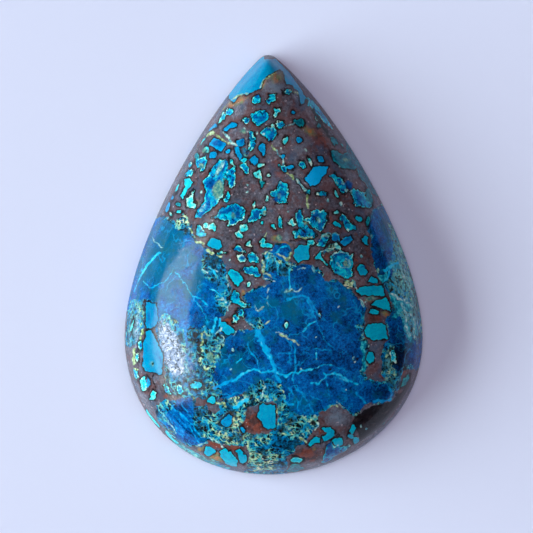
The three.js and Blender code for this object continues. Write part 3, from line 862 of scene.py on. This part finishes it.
class Paint:
    """Named values at the mesh's points, worked out from the markings."""

    def __init__(self, places):
        wander = [
            ripple(places, 0.9, seed) + 0.6 * ripple(places, 0.4, seed + 1) for seed in WANDER_SEEDS
        ]
        self.places = places + EDGE_WANDER * np.column_stack(wander)
        self.swelling = ripple(places, 0.7, SWELL_SEED)
        self.layers = {}

    def near(self, shape):
        """The points that lie in a shape's box, with a margin."""
        inside = (self.places > shape.low - FAR) & (self.places < shape.high + FAR)
        return np.flatnonzero(inside.all(axis=1))

    def depth(self, name, shapes):
        """Keeps the greatest depth inside any of the shapes. A line's width comes and goes."""
        layer = self.layers.setdefault(name, np.full(len(self.places), -FAR))
        for shape in shapes:
            near = self.near(shape)
            depth = shape.depth(self.places[near])
            if isinstance(shape, Line):
                depth += LINE_SWELL * shape.width * self.swelling[near]
            layer[near] = np.maximum(layer[near], depth)
        np.clip(layer, -FAR, FAR, out=layer)

    def stains(self, name, groups):
        """Adds soft stains that fade out from the middle of their oval."""
        layer = self.layers.setdefault(name, np.zeros(len(self.places)))
        for *oval, strength in groups:
            out = Oval(*oval).share_out(self.places) / SOFT_STAIN
            layer += strength * np.clip(1 - out**2, 0, 1) ** 2

    def kinds(self, name, marks, traits):
        """The depth in the nearest of some marks, and the traits of that mark."""
        depth = np.full(len(self.places), -FAR)
        layers = {trait: np.zeros(len(self.places)) for trait in traits}
        for shape, values in marks:
            near = self.near(shape)
            own = shape.depth(self.places[near])
            mine = near[own > depth[near]]
            depth[mine] = own[own > depth[near]]
            for trait, value in zip(traits, values):
                layers[trait][mine] = value
        self.layers[name] = np.clip(depth, -FAR, FAR)
        self.layers.update(layers)


def fragments():
    """Each fragment's shape and how it looks; no two have quite the same tone."""
    chance = np.random.default_rng(TONE_SEED)
    for mineral, marks in FRAGMENTS.items():
        tone, *rest = MINERALS[mineral]
        for numbers in marks:
            shape = Oval(*numbers) if len(numbers) == 5 else Polygon(numbers)
            yield shape, (tone + chance.uniform(-TONE_SPREAD, TONE_SPREAD), *rest)


def painted_layers(stone):
    """Every named value of the stone's surface."""
    paint = Paint(stone.unrolled)
    for name, shapes in (
        ("azurite", polygons(AZURITE_FIELDS)),
        ("mosaic", polygons(MOSAICS)),
        ("earth", polygons(EARTH_FIELDS)),
        ("azurite_core", ovals(AZURITE_CORES)),
        ("green_core", ovals(GREEN_CORES)),
        ("ragged", polygons(RAGGED_PATCHES)),
        ("band", lines(BLUE_BANDS)),
        ("cyan", lines(CYAN_VEINS)),
        ("cream", lines(CREAM_VEINS)),
        ("frost", lines(FROST_VEINS) + dots(FROST_DOTS)),
        ("soot", lines(SOOT_LINES) + dots(SOOT_DOTS) + polygons(SOOTY_FIELDS)),
    ):
        paint.depth(name, shapes)
    for name, groups in STAINS.items():
        paint.stains(name, groups)
    paint.kinds("fragment", fragments(), ("tone", "hue", "busy"))
    height = np.clip((stone.points[:, 2] - PLACED_FROM) / (PLACED_TO - PLACED_FROM), 0, 1)
    paint.layers["placed"] = height**2 * (3 - 2 * height)
    return paint.layers


POLISH_IOR = 1.33
STRIPE_TURN = -50.0  # the stripes run down and to the right
SMEAR_TURN = 80.0  # the polish was worked along the stone
STRETCH = 4.0  # how far stripes and smears are drawn out
NOISE_SPREAD = 0.25  # noise mostly stays within this of its middle, 0.5
ABSENT = -FAR  # the depth of a marking that isn't there
HIDDEN_FRAGMENT = 2.3  # the size of the fragments low on the wall and on the back, in millimetres
BUMP_HEIGHT = 0.01 * METRES
POLISH_ROUGHNESS = (0.07, 0.19)  # between the smears and on them
PITTED_ROUGHNESS = 0.12  # how much rougher the lacework is
GROUND_ROUGHNESS = 0.55
# The ground back's dullness fades into the polish between these heights, in millimetres.
GROUND_UP_TO = 0.05
POLISHED_FROM = 0.5
# Where a mix node takes its two colours, and its two numbers.
MIXED_COLOURS = (6, 7)
MIXED_NUMBERS = (2, 3)

# Cores, veins, dots and torn patches that lie over the rest, in the order they are laid: the
# border's roughness, the depths where it fades in, the size, seed and detail of the noise in
# its colour, and the colours along that noise.
FINE_MINERALS = {
    "azurite_core": (
        "fine", -0.1, 0.12, (0.4, 46, 3.0),
        ((0.3, 1, 44, 100), (0.5, 1, 76, 146), (0.7, 1, 112, 180)),
    ),
    "green_core": (
        "fine", -0.12, 0.1, (0.25, 47, 3.0),
        ((0.3, 16, 92, 104), (0.5, 80, 140, 130), (0.7, 150, 172, 140)),
    ),
    "soot": (
        "fine", -0.05, 0.05, (0.5, 48, 4.0),
        ((0.35, 8, 8, 12), (0.55, 24, 22, 28), (0.75, 60, 50, 52)),
    ),
    "ragged": (
        "broken", -0.06, 0.06, (0.3, 58, 3.0),
        ((0.35, 0, 92, 124), (0.5, 0, 160, 186), (0.65, 80, 216, 216)),
    ),
    "band": (
        "ragged", -0.05, 0.07, (0.4, 52, 3.0),
        ((0.3, 0, 124, 196), (0.5, 0, 152, 220), (0.7, 0, 180, 232)),
    ),
    "cyan": (
        "fine", -0.05, 0.06, (0.3, 49, 3.0),
        ((0.3, 0, 158, 222), (0.5, 0, 190, 238), (0.7, 84, 216, 246)),
    ),
    "cream": (
        "crumbly", -0.05, 0.06, (0.25, 50, 2.0),
        ((0.35, 98, 128, 80), (0.5, 158, 190, 132), (0.65, 206, 230, 190)),
    ),
    "frost": (
        "crumbly", -0.04, 0.06, (0.3, 51, 2.0),
        ((0.35, 40, 138, 164), (0.5, 120, 190, 196), (0.66, 202, 230, 222)),
    ),
}


class Graph:
    """Short names for building a material's nodes."""

    def __init__(self, material):
        material.use_nodes = True
        self.tree = material.node_tree
        self.shader = self.tree.nodes["Principled BSDF"]
        coordinates = self.tree.nodes.new("ShaderNodeTexCoord")
        scale = self.node("ShaderNodeVectorMath", operation="SCALE")
        self.feed(scale.inputs[0], coordinates.outputs["Object"])
        self.feed(scale.inputs["Scale"], 1 / METRES)
        self.place = scale.outputs[0]  # in millimetres

    def node(self, kind, **settings):
        node = self.tree.nodes.new(kind)
        for name, value in settings.items():
            setattr(node, name, value)
        return node

    def feed(self, socket, value):
        if isinstance(value, bpy.types.NodeSocket):
            self.tree.links.new(value, socket)
        else:
            socket.default_value = value

    def math(self, operation, *values):
        node = self.node("ShaderNodeMath", operation=operation)
        for socket, value in zip(node.inputs, values):
            self.feed(socket, value)
        return node.outputs[0]

    def add(self, first, *others):
        total = first
        for other in others:
            total = self.math("ADD", total, other)
        return total

    def times(self, first, *others):
        product = first
        for other in others:
            product = self.math("MULTIPLY", product, other)
        return product

    def painted(self, name):
        """One of the named values of the mesh's points."""
        return self.node("ShaderNodeAttribute", attribute_name=name).outputs["Fac"]

    def noise(self, size, seed, detail=2.0, roughness=0.5, place=None):
        """Noise from 0 to 1 with lumps of a size in millimetres."""
        node = self.node("ShaderNodeTexNoise", noise_dimensions="4D")
        self.feed(node.inputs["Vector"], place or self.place)
        self.feed(node.inputs["W"], float(seed))
        self.feed(node.inputs["Scale"], 1 / size)
        self.feed(node.inputs["Detail"], detail)
        self.feed(node.inputs["Roughness"], roughness)
        return node.outputs[0]

    def swing(self, size, seed, amount, detail=2.0, roughness=0.5):
        """Noise that swings about 0, mostly within an amount."""
        centred = self.add(self.noise(size, seed, detail, roughness), -0.5)
        return self.times(centred, amount / NOISE_SPREAD)

    def patches(self, size, seed, low, high, detail=2.0, roughness=0.5):
        """Random patches: 0 where noise is below low, rising to 1 where it is above high."""
        return self.fade(self.noise(size, seed, detail, roughness), low, high)

    def cells(self, size, feature="F1", output="Color"):
        """Random cells with a size in millimetres."""
        node = self.node("ShaderNodeTexVoronoi", feature=feature)
        self.feed(node.inputs["Vector"], self.place)
        self.feed(node.inputs["Scale"], 1 / size)
        return node.outputs[output]

    def ridge(self, size, seed, width, detail=1.5):
        """Thin winding lines: 1 on the line, falling to 0."""
        off = self.math("ABSOLUTE", self.add(self.noise(size, seed, detail), -0.5))
        return self.fade(off, 0.3 * width, width, 1.0, 0.0)

    def stretched(self, turn):
        """The places drawn out along a direction in degrees from +X."""
        node = self.node("ShaderNodeMapping", vector_type="TEXTURE")
        self.feed(node.inputs["Vector"], self.place)
        self.feed(node.inputs["Rotation"], (0.0, 0.0, math.radians(turn)))
        self.feed(node.inputs["Scale"], (STRETCH, 1.0, 1.0))
        return node.outputs[0]

    def first_channel(self, colour):
        node = self.node("ShaderNodeSeparateColor")
        self.feed(node.inputs[0], colour)
        return node.outputs[0]

    def fade(self, value, low, high, start=0.0, end=1.0):
        """Rises smoothly from start to end as the value goes from low to high."""
        node = self.node("ShaderNodeMapRange", interpolation_type="SMOOTHSTEP")
        for name, setting in (("Value", value), ("From Min", low), ("From Max", high),
                              ("To Min", start), ("To Max", end)):
            self.feed(node.inputs[name], setting)
        return node.outputs[0]

    def mixed(self, kind, sockets, share, first, second):
        """A mix node that goes from the first value to the second as the share goes from 0 to 1."""
        node = self.node("ShaderNodeMix", data_type=kind)
        self.feed(node.inputs[0], share)
        for number, value in zip(sockets, (first, second)):
            self.feed(node.inputs[number], value)
        return node

    def mix(self, share, first, second):
        """From the first colour to the second."""
        return self.mixed("RGBA", MIXED_COLOURS, share, first, second).outputs[2]

    def blend(self, share, first, second):
        """From the first number to the second."""
        return self.mixed("FLOAT", MIXED_NUMBERS, share, first, second).outputs[0]

    def tinted(self, colour, share, strength, shade):
        """A colour with a shade of red, green and blue laid over a share of it."""
        return self.mix(self.times(share, strength), colour, tint(*shade))

    def ramp(self, value, stops):
        """A colour looked up along a list of (position, red, green, blue)."""
        node = self.node("ShaderNodeValToRGB")
        self.feed(node.inputs[0], value)
        elements = node.color_ramp.elements
        for _ in stops[2:]:
            elements.new(0.5)
        for element, (position, *colour) in zip(elements, stops):
            element.position = position
            element.color = tint(*colour)
        return node.outputs[0]


def linear(value):
    """A display value from 0 to 255 on the linear scale from 0 to 1."""
    share = value / 255
    return share / 12.92 if share <= 0.04045 else ((share + 0.055) / 1.055) ** 2.4


def tint(red, green, blue):
    """A colour given in display values from 0 to 255."""
    return (linear(red), linear(green), linear(blue), 1.0)


def rock_stains(g):
    """The matrix's painted stains, by name."""
    ochre = g.mix(g.patches(0.5, 9, 0.42, 0.56, 3.0), tint(172, 118, 66), tint(124, 134, 84))
    rust = g.mix(g.patches(0.6, 19, 0.42, 0.58, 3.0, 0.6), tint(70, 42, 38), tint(130, 66, 50))
    return {"grey": tint(104, 122, 142), "rust": rust, "ochre": ochre}


def rock_colour(g):
    """Fine-grained grey-brown matrix, clouded and freckled, with its painted stains, among them painted
    shade and light.
    """
    clouds = g.noise(3.0, 1, 3.0)
    grain = g.noise(0.26, 2, 3.0, 0.7)
    # The grey value holds painted shade in the middle left and painted light towards the tip.
    value = g.add(g.times(clouds, 0.4), g.times(grain, 0.6), g.times(g.painted("grey"), 0.06))
    colour = g.ramp(value, [
        (0.34, 48, 45, 52), (0.44, 74, 73, 84), (0.54, 94, 94, 108), (0.68, 134, 134, 148),
    ])
    rusty = g.fade(g.add(g.noise(1.5, 3, 4.0, 0.6), g.swing(0.25, 4, 0.08)), 0.46, 0.6)
    colour = g.tinted(colour, rusty, 0.55, (100, 60, 56))
    bluish = g.patches(1.8, 5, 0.52, 0.66, 4.0, 0.6)
    colour = g.tinted(colour, bluish, 0.6, (62, 88, 116))
    rough_patches = g.swing(0.4, 6, 0.4, 3.0, 0.6)
    for name, stain in rock_stains(g).items():
        strength = g.times(g.painted(name), g.add(0.85, rough_patches))
        colour = g.mix(g.fade(strength, 0.15, 1.0, 0.0, 0.85), colour, stain)
    shadows = g.patches(0.22, 8, 0.56, 0.68)
    colour = g.tinted(colour, shadows, 0.36, (30, 22, 26))
    freckles = g.patches(0.3, 7, 0.69, 0.74, 1.0)
    return g.tinted(colour, freckles, 0.6, (186, 170, 180))


def azurite_colour(g):
    """Deep blue azurite, from pale and hazy to navy, with faint wisps and, in places, stripes."""
    clouds = g.swing(1.5, 11, 0.22, 4.0, 0.62)
    grain = g.swing(0.22, 12, 0.4, 4.0, 0.8)
    streaks = g.noise(0.36, 10, 3.0, 0.6, g.stretched(STRIPE_TURN))
    stripes = g.times(g.add(streaks, -0.5), g.painted("striped"))
    # The depth includes painted shade over the left flank.
    depth = g.times(g.painted("azurite_depth_and_shade"), 0.42)
    value = g.add(0.54, depth, clouds, grain, g.times(stripes, 2.2))
    blue = g.ramp(value, [
        (0.0, 70, 166, 212), (0.18, 2, 140, 208), (0.32, 0, 116, 192), (0.46, 0, 91, 168),
        (0.6, 0, 71, 140), (0.76, 0, 46, 95), (0.95, 1, 18, 45),
    ])
    teal = g.add(g.noise(1.2, 13, 3.0, 0.6), g.times(g.painted("teal"), 0.22))
    colour = g.mix(g.fade(teal, 0.48, 0.72, 0.0, 0.8), blue, tint(0, 92, 124))
    murk = g.times(g.patches(0.8, 18, 0.5, 0.62, 4.0, 0.65), g.fade(teal, 0.5, 0.8))
    colour = g.tinted(colour, murk, 0.55, (32, 92, 98))
    for size, seed, width, strength in ((2.4, 14, 0.014, 0.65), (1.0, 16, 0.022, 0.45)):
        wisps = g.times(g.ridge(size, seed, width, 3.0), g.patches(2.0, seed + 1, 0.44, 0.6))
        colour = g.tinted(colour, wisps, strength, (2, 148, 210))
    return colour


def mosaic_ground(g, warmth):
    """The dark blue under the lacework, olive where it is warm, with mint patches and pits."""
    ground = g.ramp(g.noise(0.5, 20, 3.0, 0.65), [
        (0.36, 4, 14, 20), (0.45, 2, 44, 64), (0.53, 0, 82, 126), (0.64, 1, 124, 174),
    ])
    olive = g.times(g.patches(0.6, 21, 0.46, 0.56, 3.0, 0.6), g.fade(warmth, 0.3, 1.0))
    ground = g.tinted(ground, olive, 0.8, (74, 112, 84))
    minty = g.ramp(g.noise(0.6, 28, 3.0), [(0.35, 12, 104, 122), (0.6, 130, 226, 212)])
    ground = g.mix(g.times(g.painted("mint"), 0.8), ground, minty)
    pits = g.patches(0.28, 27, 0.53, 0.6, 1.0)
    return g.tinted(ground, pits, 0.9, (6, 8, 14))


def mosaic_colour(g):
    """Lacework of pale green over dark blue, with clouds of teal and of yellow."""
    warmth = g.add(g.painted("warmth"), g.swing(1.6, 22, 0.35, 3.0), 0.1)
    strands = g.ramp(g.add(g.noise(0.4, 23, 2.0), g.times(warmth, 0.25)), [
        (0.42, 1, 120, 186), (0.52, 10, 158, 190), (0.62, 88, 182, 174), (0.72, 168, 204, 158),
        (0.84, 226, 228, 196),
    ])
    lace = g.math("MAXIMUM", g.ridge(0.75, 24, 0.06), g.times(g.ridge(0.45, 25, 0.055), 0.8))
    gaps = g.add(g.noise(1.3, 26, 3.0), g.times(warmth, 0.06))
    lace = g.times(lace, g.fade(gaps, 0.42, 0.54, 0.1, 1.0))
    return g.mix(lace, mosaic_ground(g, warmth), strands)


def shattuckite_colour(g, depth):
    """Sky blue to turquoise shattuckite: veined and bright-rimmed, or smooth in the large pieces."""
    busy = g.painted("busy")
    lumps = g.swing(0.42, 31, 0.42, 2.5, 0.65)
    grain = g.swing(0.14, 32, 0.05)
    calm = g.swing(0.7, 30, 0.05, 3.0, 0.6)
    rim = g.fade(g.add(depth, g.swing(0.3, 33, 0.06)), 0.04, 0.14, 0.44, -0.1)
    rimmed = g.times(busy, g.patches(0.8, 39, 0.4, 0.56))
    # The tone is darker in the 'deep' fragments, as painted shade.
    tone = g.add(g.painted("tone"), g.blend(busy, calm, lumps), grain, g.times(rim, rimmed))
    turquoise = g.ramp(tone, [
        (0.0, 0, 54, 124), (0.15, 0, 98, 172), (0.3, 0, 140, 190), (0.46, 0, 174, 206),
        (0.64, 0, 204, 222), (0.82, 96, 220, 218), (1.0, 204, 240, 226),
    ])
    sky = g.ramp(tone, [(0.15, 0, 96, 164), (0.42, 0, 142, 198), (0.7, 0, 178, 244)])
    green = g.ramp(tone, [(0.1, 0, 78, 104), (0.4, 0, 130, 148), (0.7, 30, 172, 176)])
    hue = g.painted("hue")
    colour = g.mix(g.fade(hue, 0.0, 1.0), turquoise, sky)
    colour = g.mix(g.fade(hue, -1.0, 0.0, 1.0, 0.0), colour, green)
    cracks = g.times(g.ridge(0.5, 34, 0.045), g.patches(0.7, 35, 0.4, 0.52), busy)
    return g.tinted(colour, cracks, 0.85, (1, 32, 72))


def chalk_and_highlight_colour(g):
    """Worn speckle painted near white as a highlight: crumbs with small dark pits and thin dark scratches.
    """
    crumbs = g.ramp(g.noise(0.3, 36, 3.0, 0.7), [
        (0.38, 84, 110, 150), (0.52, 150, 168, 200), (0.64, 222, 228, 240),
    ])
    pits = g.math("MAXIMUM", g.ridge(0.8, 37, 0.02), g.patches(0.26, 38, 0.6, 0.64, 1.0))
    return g.tinted(crumbs, pits, 0.85, (20, 34, 44))


class Markings:
    """The painted depths with roughened edges. Low on the wall, hidden values take over from them."""

    def __init__(self, g, placed):
        self.g = g
        self.placed = placed
        ragged = g.swing(0.35, 41, 0.05, 3.0, 0.6)
        fine = g.swing(0.12, 42, 0.02)
        crumbly = g.swing(0.25, 57, 0.05, 3.0, 0.6)
        broken = g.add(ragged, fine)
        self.borders = {"ragged": ragged, "fine": fine, "crumbly": crumbly, "broken": broken}

    def inside(self, name, border="broken", hidden=ABSENT):
        """How deep each place lies inside a marking."""
        depth = self.g.blend(self.placed, hidden, self.g.painted(name))
        return self.g.add(depth, self.borders[border])


def ground_colour(g, markings, azurite):
    """Matrix and azurite, with lacework, earth and the worn speckle, painted white as a highlight, over
    them.
    """
    rock = rock_colour(g)
    colour = g.mix(g.fade(azurite, -0.06, 0.08), rock, azurite_colour(g))
    # Lacework also follows the azurite's border, in shreds.
    fringe = g.times(g.math("ABSOLUTE", azurite), -1.2)
    fringe = g.add(0.1, fringe, g.swing(1.2, 53, 0.3, 3.0, 0.6))
    lace = g.add(markings.inside("mosaic"), g.swing(0.7, 44, 0.2, 3.0, 0.6))
    lace = g.math("MAXIMUM", lace, fringe)
    colour = g.mix(g.fade(lace, -0.04, 0.04), colour, mosaic_colour(g))
    colour = g.mix(g.fade(markings.inside("earth"), -0.03, 0.04), colour, rock)
    # The worn speckle is painted near white as a highlight where the window shows in the polish.
    chalk_and_highlight = g.times(g.painted("chalk_and_highlight"), markings.placed)
    chalk_and_highlight = g.add(chalk_and_highlight, g.swing(0.5, 54, 0.16, 3.0, 0.6))
    return g.mix(g.fade(chalk_and_highlight, 0.15, 0.8), colour, chalk_and_highlight_colour(g))


def hidden_fragments(g):
    """The depth inside random fragments, which fill about three cells in ten."""
    chunk = g.add(g.cells(HIDDEN_FRAGMENT, "DISTANCE_TO_EDGE", "Distance"), -0.12)
    rare = g.fade(g.first_channel(g.cells(HIDDEN_FRAGMENT)), 0.7, 0.72, ABSENT, 0.0)
    return g.add(g.times(chunk, HIDDEN_FRAGMENT), rare)


def fragments_over(g, markings, azurite, colour):
    """The fragments laid over a colour, with a rusty halo in the matrix and a dark outline."""
    fragment = markings.inside("fragment", hidden=hidden_fragments(g))
    fragment = g.add(fragment, g.times(g.swing(0.28, 55, 0.1, 2.0), g.painted("busy")))
    in_matrix = g.fade(azurite, 0.0, 0.1, 1.0, 0.0)
    halo = g.times(g.fade(fragment, -0.5, -0.12), g.patches(1.1, 56, 0.4, 0.58, 3.0), in_matrix)
    colour = g.tinted(colour, halo, 0.4, (86, 52, 50))
    outline = g.times(g.fade(fragment, -0.22, -0.04), g.patches(0.9, 45, 0.28, 0.44))
    colour = g.tinted(colour, outline, 0.94, (14, 10, 12))
    return g.mix(g.fade(fragment, -0.03, 0.03), colour, shattuckite_colour(g, fragment))


def stone_colour(g, placed):
    """All the minerals, laid over each other from the matrix up."""
    markings = Markings(g, placed)
    lumps = g.noise(3.4, 43, 3.0, 0.55)
    azurite = markings.inside("azurite", hidden=g.times(g.add(lumps, -0.55), 4.0))
    colour = ground_colour(g, markings, azurite)
    colour = fragments_over(g, markings, azurite, colour)
    for name, (border, low, high, texture, stops) in FINE_MINERALS.items():
        shown = g.times(g.fade(markings.inside(name, border), low, high), 0.95)
        colour = g.mix(shown, colour, g.ramp(g.noise(*texture), stops))
    return colour


def polished_bump(g, ground):
    """Shallow pits and waves in the polish, and the ground back's tooth."""
    pits = g.fade(g.noise(0.16, 62, 2.0), 0.62, 0.74, 0.0, -1.0)
    waves = g.times(g.noise(0.9, 63, 2.0), 0.6)
    tooth = g.times(g.noise(0.1, 64, 3.0), ground)
    bump = g.node("ShaderNodeBump")
    g.feed(bump.inputs["Strength"], 1.0)
    g.feed(bump.inputs["Distance"], BUMP_HEIGHT)
    g.feed(bump.inputs["Height"], g.add(pits, waves, tooth))
    return bump.outputs[0]


def polished_stone():
    """The stone: coloured all through, polished above and ground on its back."""
    material = bpy.data.materials.new("polished_stone")
    g = Graph(material)
    height = g.node("ShaderNodeSeparateXYZ")
    g.feed(height.inputs[0], g.place)
    ground = g.fade(height.outputs["Z"], GROUND_UP_TO, POLISHED_FROM, 1.0, 0.0)
    streaks = g.noise(0.5, 61, 4.0, 0.6, g.stretched(SMEAR_TURN))
    smears = g.fade(streaks, 0.35, 0.7, *POLISH_ROUGHNESS)
    pitted = g.fade(g.painted("mosaic"), -0.05, 0.15, 0.0, PITTED_ROUGHNESS)
    g.feed(g.shader.inputs["Base Color"], stone_colour(g, g.painted("placed")))
    g.feed(g.shader.inputs["Roughness"], g.blend(ground, g.add(smears, pitted), GROUND_ROUGHNESS))
    g.feed(g.shader.inputs["IOR"], POLISH_IOR)
    g.feed(g.shader.inputs["Normal"], polished_bump(g, ground))
    return material


# The flat layout of the surface, in millimetres, and the picture, in metres.
LAYOUT_MARGIN = 0.4
FLOOR_SIZE = 3.0
PICTURE_WIDTH = 0.05087
CAMERA_HEIGHT = 0.9
CAMERA_ROLL = math.radians(-1.15)
CAMERA_SHIFT = (-0.54 * METRES, -0.18 * METRES)  # across and up the picture
SENSOR = 36.0
PAPER_GRAIN = 60.0  # the size of the paper's faint clouds, in millimetres
PAPER_COLOURS = ((0.3, 216, 224, 251), (0.7, 219, 227, 254))
ROOM_COLOUR = (214, 224, 240)
ROOM_STRENGTH = 0.03
# The lights, by their direction from the stone in degrees, and metres and watts. The window is
# low on the stone's left and shows in its polish.
WINDOW = {
    "azimuth": 188, "elevation": 34.5, "distance": 1.5, "size": (1.6, 0.86), "roll": 5,
    "power": 32.0, "colour": (0.9, 1.0, 0.97),
}
SIDE_FILL = {
    "azimuth": 184, "elevation": 22, "distance": 1.5, "size": (1.75, 0.8), "roll": 0,
    "power": 45.5, "colour": (0.91, 1.0, 0.97),
}
HIGH_FILL = {
    "azimuth": 0, "elevation": 80, "distance": 1.5, "size": (2.0, 2.0), "roll": 0,
    "power": 13.8, "colour": (1.0, 0.87, 0.93),
}


def fitted(points):
    """Points moved and scaled from the drawn size to the CAD solid's box, in metres."""
    low, high = (np.array(corner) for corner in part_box("cabochon"))
    return low + (points - [-HALF_WIDTH, -TIP_Y, 0.0]) / DRAWN_SIZE * (high - low)


def lay_out_flat(mesh, stone, upper_corners):
    """A flat layout of the surface: the unrolled upper side, with the back beside it."""
    corners = np.empty(len(mesh.loops), dtype=int)
    mesh.loops.foreach_get("vertex_index", corners)
    upper = corners[:upper_corners]
    back = corners[upper_corners:]
    low = stone.unrolled.min(axis=0)
    high = stone.unrolled.max(axis=0)
    flat = np.empty((len(corners), 2))
    flat[:upper_corners] = stone.unrolled[upper] - low + LAYOUT_MARGIN
    mirrored = stone.points[back, :2] * [-1, 1] + [HALF_WIDTH, TIP_Y]
    flat[upper_corners:] = mirrored + [high[0] - low[0] + 3 * LAYOUT_MARGIN, 3 * LAYOUT_MARGIN]
    flat /= flat.max() + LAYOUT_MARGIN
    layer = mesh.uv_layers.new(name="OFBake")
    layer.data.foreach_set("uv", flat.ravel())


def cabochon():
    """The stone: its mesh, the painted values on it, its layout and its material."""
    stone = StoneMesh()
    faces = [quad for group in stone.upper_faces for quad in group.tolist()]
    upper_corners = sum(len(face) for face in faces)
    faces += [face for group in stone.back_faces for face in group.tolist()]
    mesh = bpy.data.meshes.new("cabochon_stone")
    mesh.from_pydata(fitted(stone.points).tolist(), [], faces)
    for name, values in painted_layers(stone).items():
        layer = mesh.attributes.new(name, "FLOAT", "POINT")
        layer.data.foreach_set("value", values.astype(np.float32))
    lay_out_flat(mesh, stone, upper_corners)
    mesh.shade_smooth()
    mesh.materials.append(polished_stone())
    piece = bpy.data.objects.new("cabochon_stone", mesh)
    bpy.context.scene.collection.objects.link(piece)
    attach(piece, "root")
    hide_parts("cabochon")


def floor_paper():
    """Smooth lavender paper, with faint clouds."""
    material = bpy.data.materials.new("floor_paper")
    g = Graph(material)
    g.feed(g.shader.inputs["Base Color"], g.ramp(g.noise(PAPER_GRAIN, 71), PAPER_COLOURS))
    g.feed(g.shader.inputs["Roughness"], 0.9)
    g.feed(g.shader.inputs["Specular IOR Level"], 0.1)
    return material


def floor():
    """A sheet of paper for the stone to lie on."""
    bpy.ops.mesh.primitive_plane_add(size=FLOOR_SIZE)
    sheet = bpy.context.object
    sheet.name = "floor"
    sheet.data.materials.append(floor_paper())


def soft_light(name, light, seen_in_polish):
    """A rectangular light that faces the stone, either seen in its polish or filling its colours."""
    data = bpy.data.lights.new(name, "AREA")
    data.shape = "RECTANGLE"
    data.size, data.size_y = light["size"]
    data.energy = light["power"]
    data.color = light["colour"]
    lamp = bpy.data.objects.new(name, data)
    azimuth = math.radians(light["azimuth"])
    elevation = math.radians(light["elevation"])
    across = light["distance"] * math.cos(elevation)
    lamp.location = (
        across * math.cos(azimuth),
        across * math.sin(azimuth),
        light["distance"] * math.sin(elevation),
    )
    lamp.rotation_euler = (-lamp.location).to_track_quat("-Z", "Y").to_euler()
    lamp.rotation_euler.rotate_axis("Z", math.radians(light["roll"]))
    lamp.visible_glossy = seen_in_polish
    lamp.visible_diffuse = not seen_in_polish
    bpy.context.scene.collection.objects.link(lamp)


def dim_room():
    """The room's faint light."""
    world = bpy.data.worlds.new("dim_room")
    world.use_nodes = True
    background = world.node_tree.nodes["Background"]
    background.inputs["Color"].default_value = tint(*ROOM_COLOUR)
    background.inputs["Strength"].default_value = ROOM_STRENGTH
    bpy.context.scene.world = world


def overhead_camera():
    """Looks straight down on the stone."""
    data = bpy.data.cameras.new("overhead")
    data.sensor_width = SENSOR
    data.lens = SENSOR * CAMERA_HEIGHT / PICTURE_WIDTH
    data.clip_start = 0.01
    camera = bpy.data.objects.new("overhead", data)
    across, up = CAMERA_SHIFT
    camera.location = (
        across * math.cos(CAMERA_ROLL) - up * math.sin(CAMERA_ROLL),
        across * math.sin(CAMERA_ROLL) + up * math.cos(CAMERA_ROLL),
        CAMERA_HEIGHT,
    )
    camera.rotation_euler = (0, 0, CAMERA_ROLL)
    bpy.context.scene.collection.objects.link(camera)
    bpy.context.scene.camera = camera


cabochon()
floor()
soft_light("window", WINDOW, True)
soft_light("side_fill", SIDE_FILL, False)
soft_light("high_fill", HIGH_FILL, False)
dim_room()
overhead_camera()
bpy.context.scene.view_settings.view_transform = "Standard"
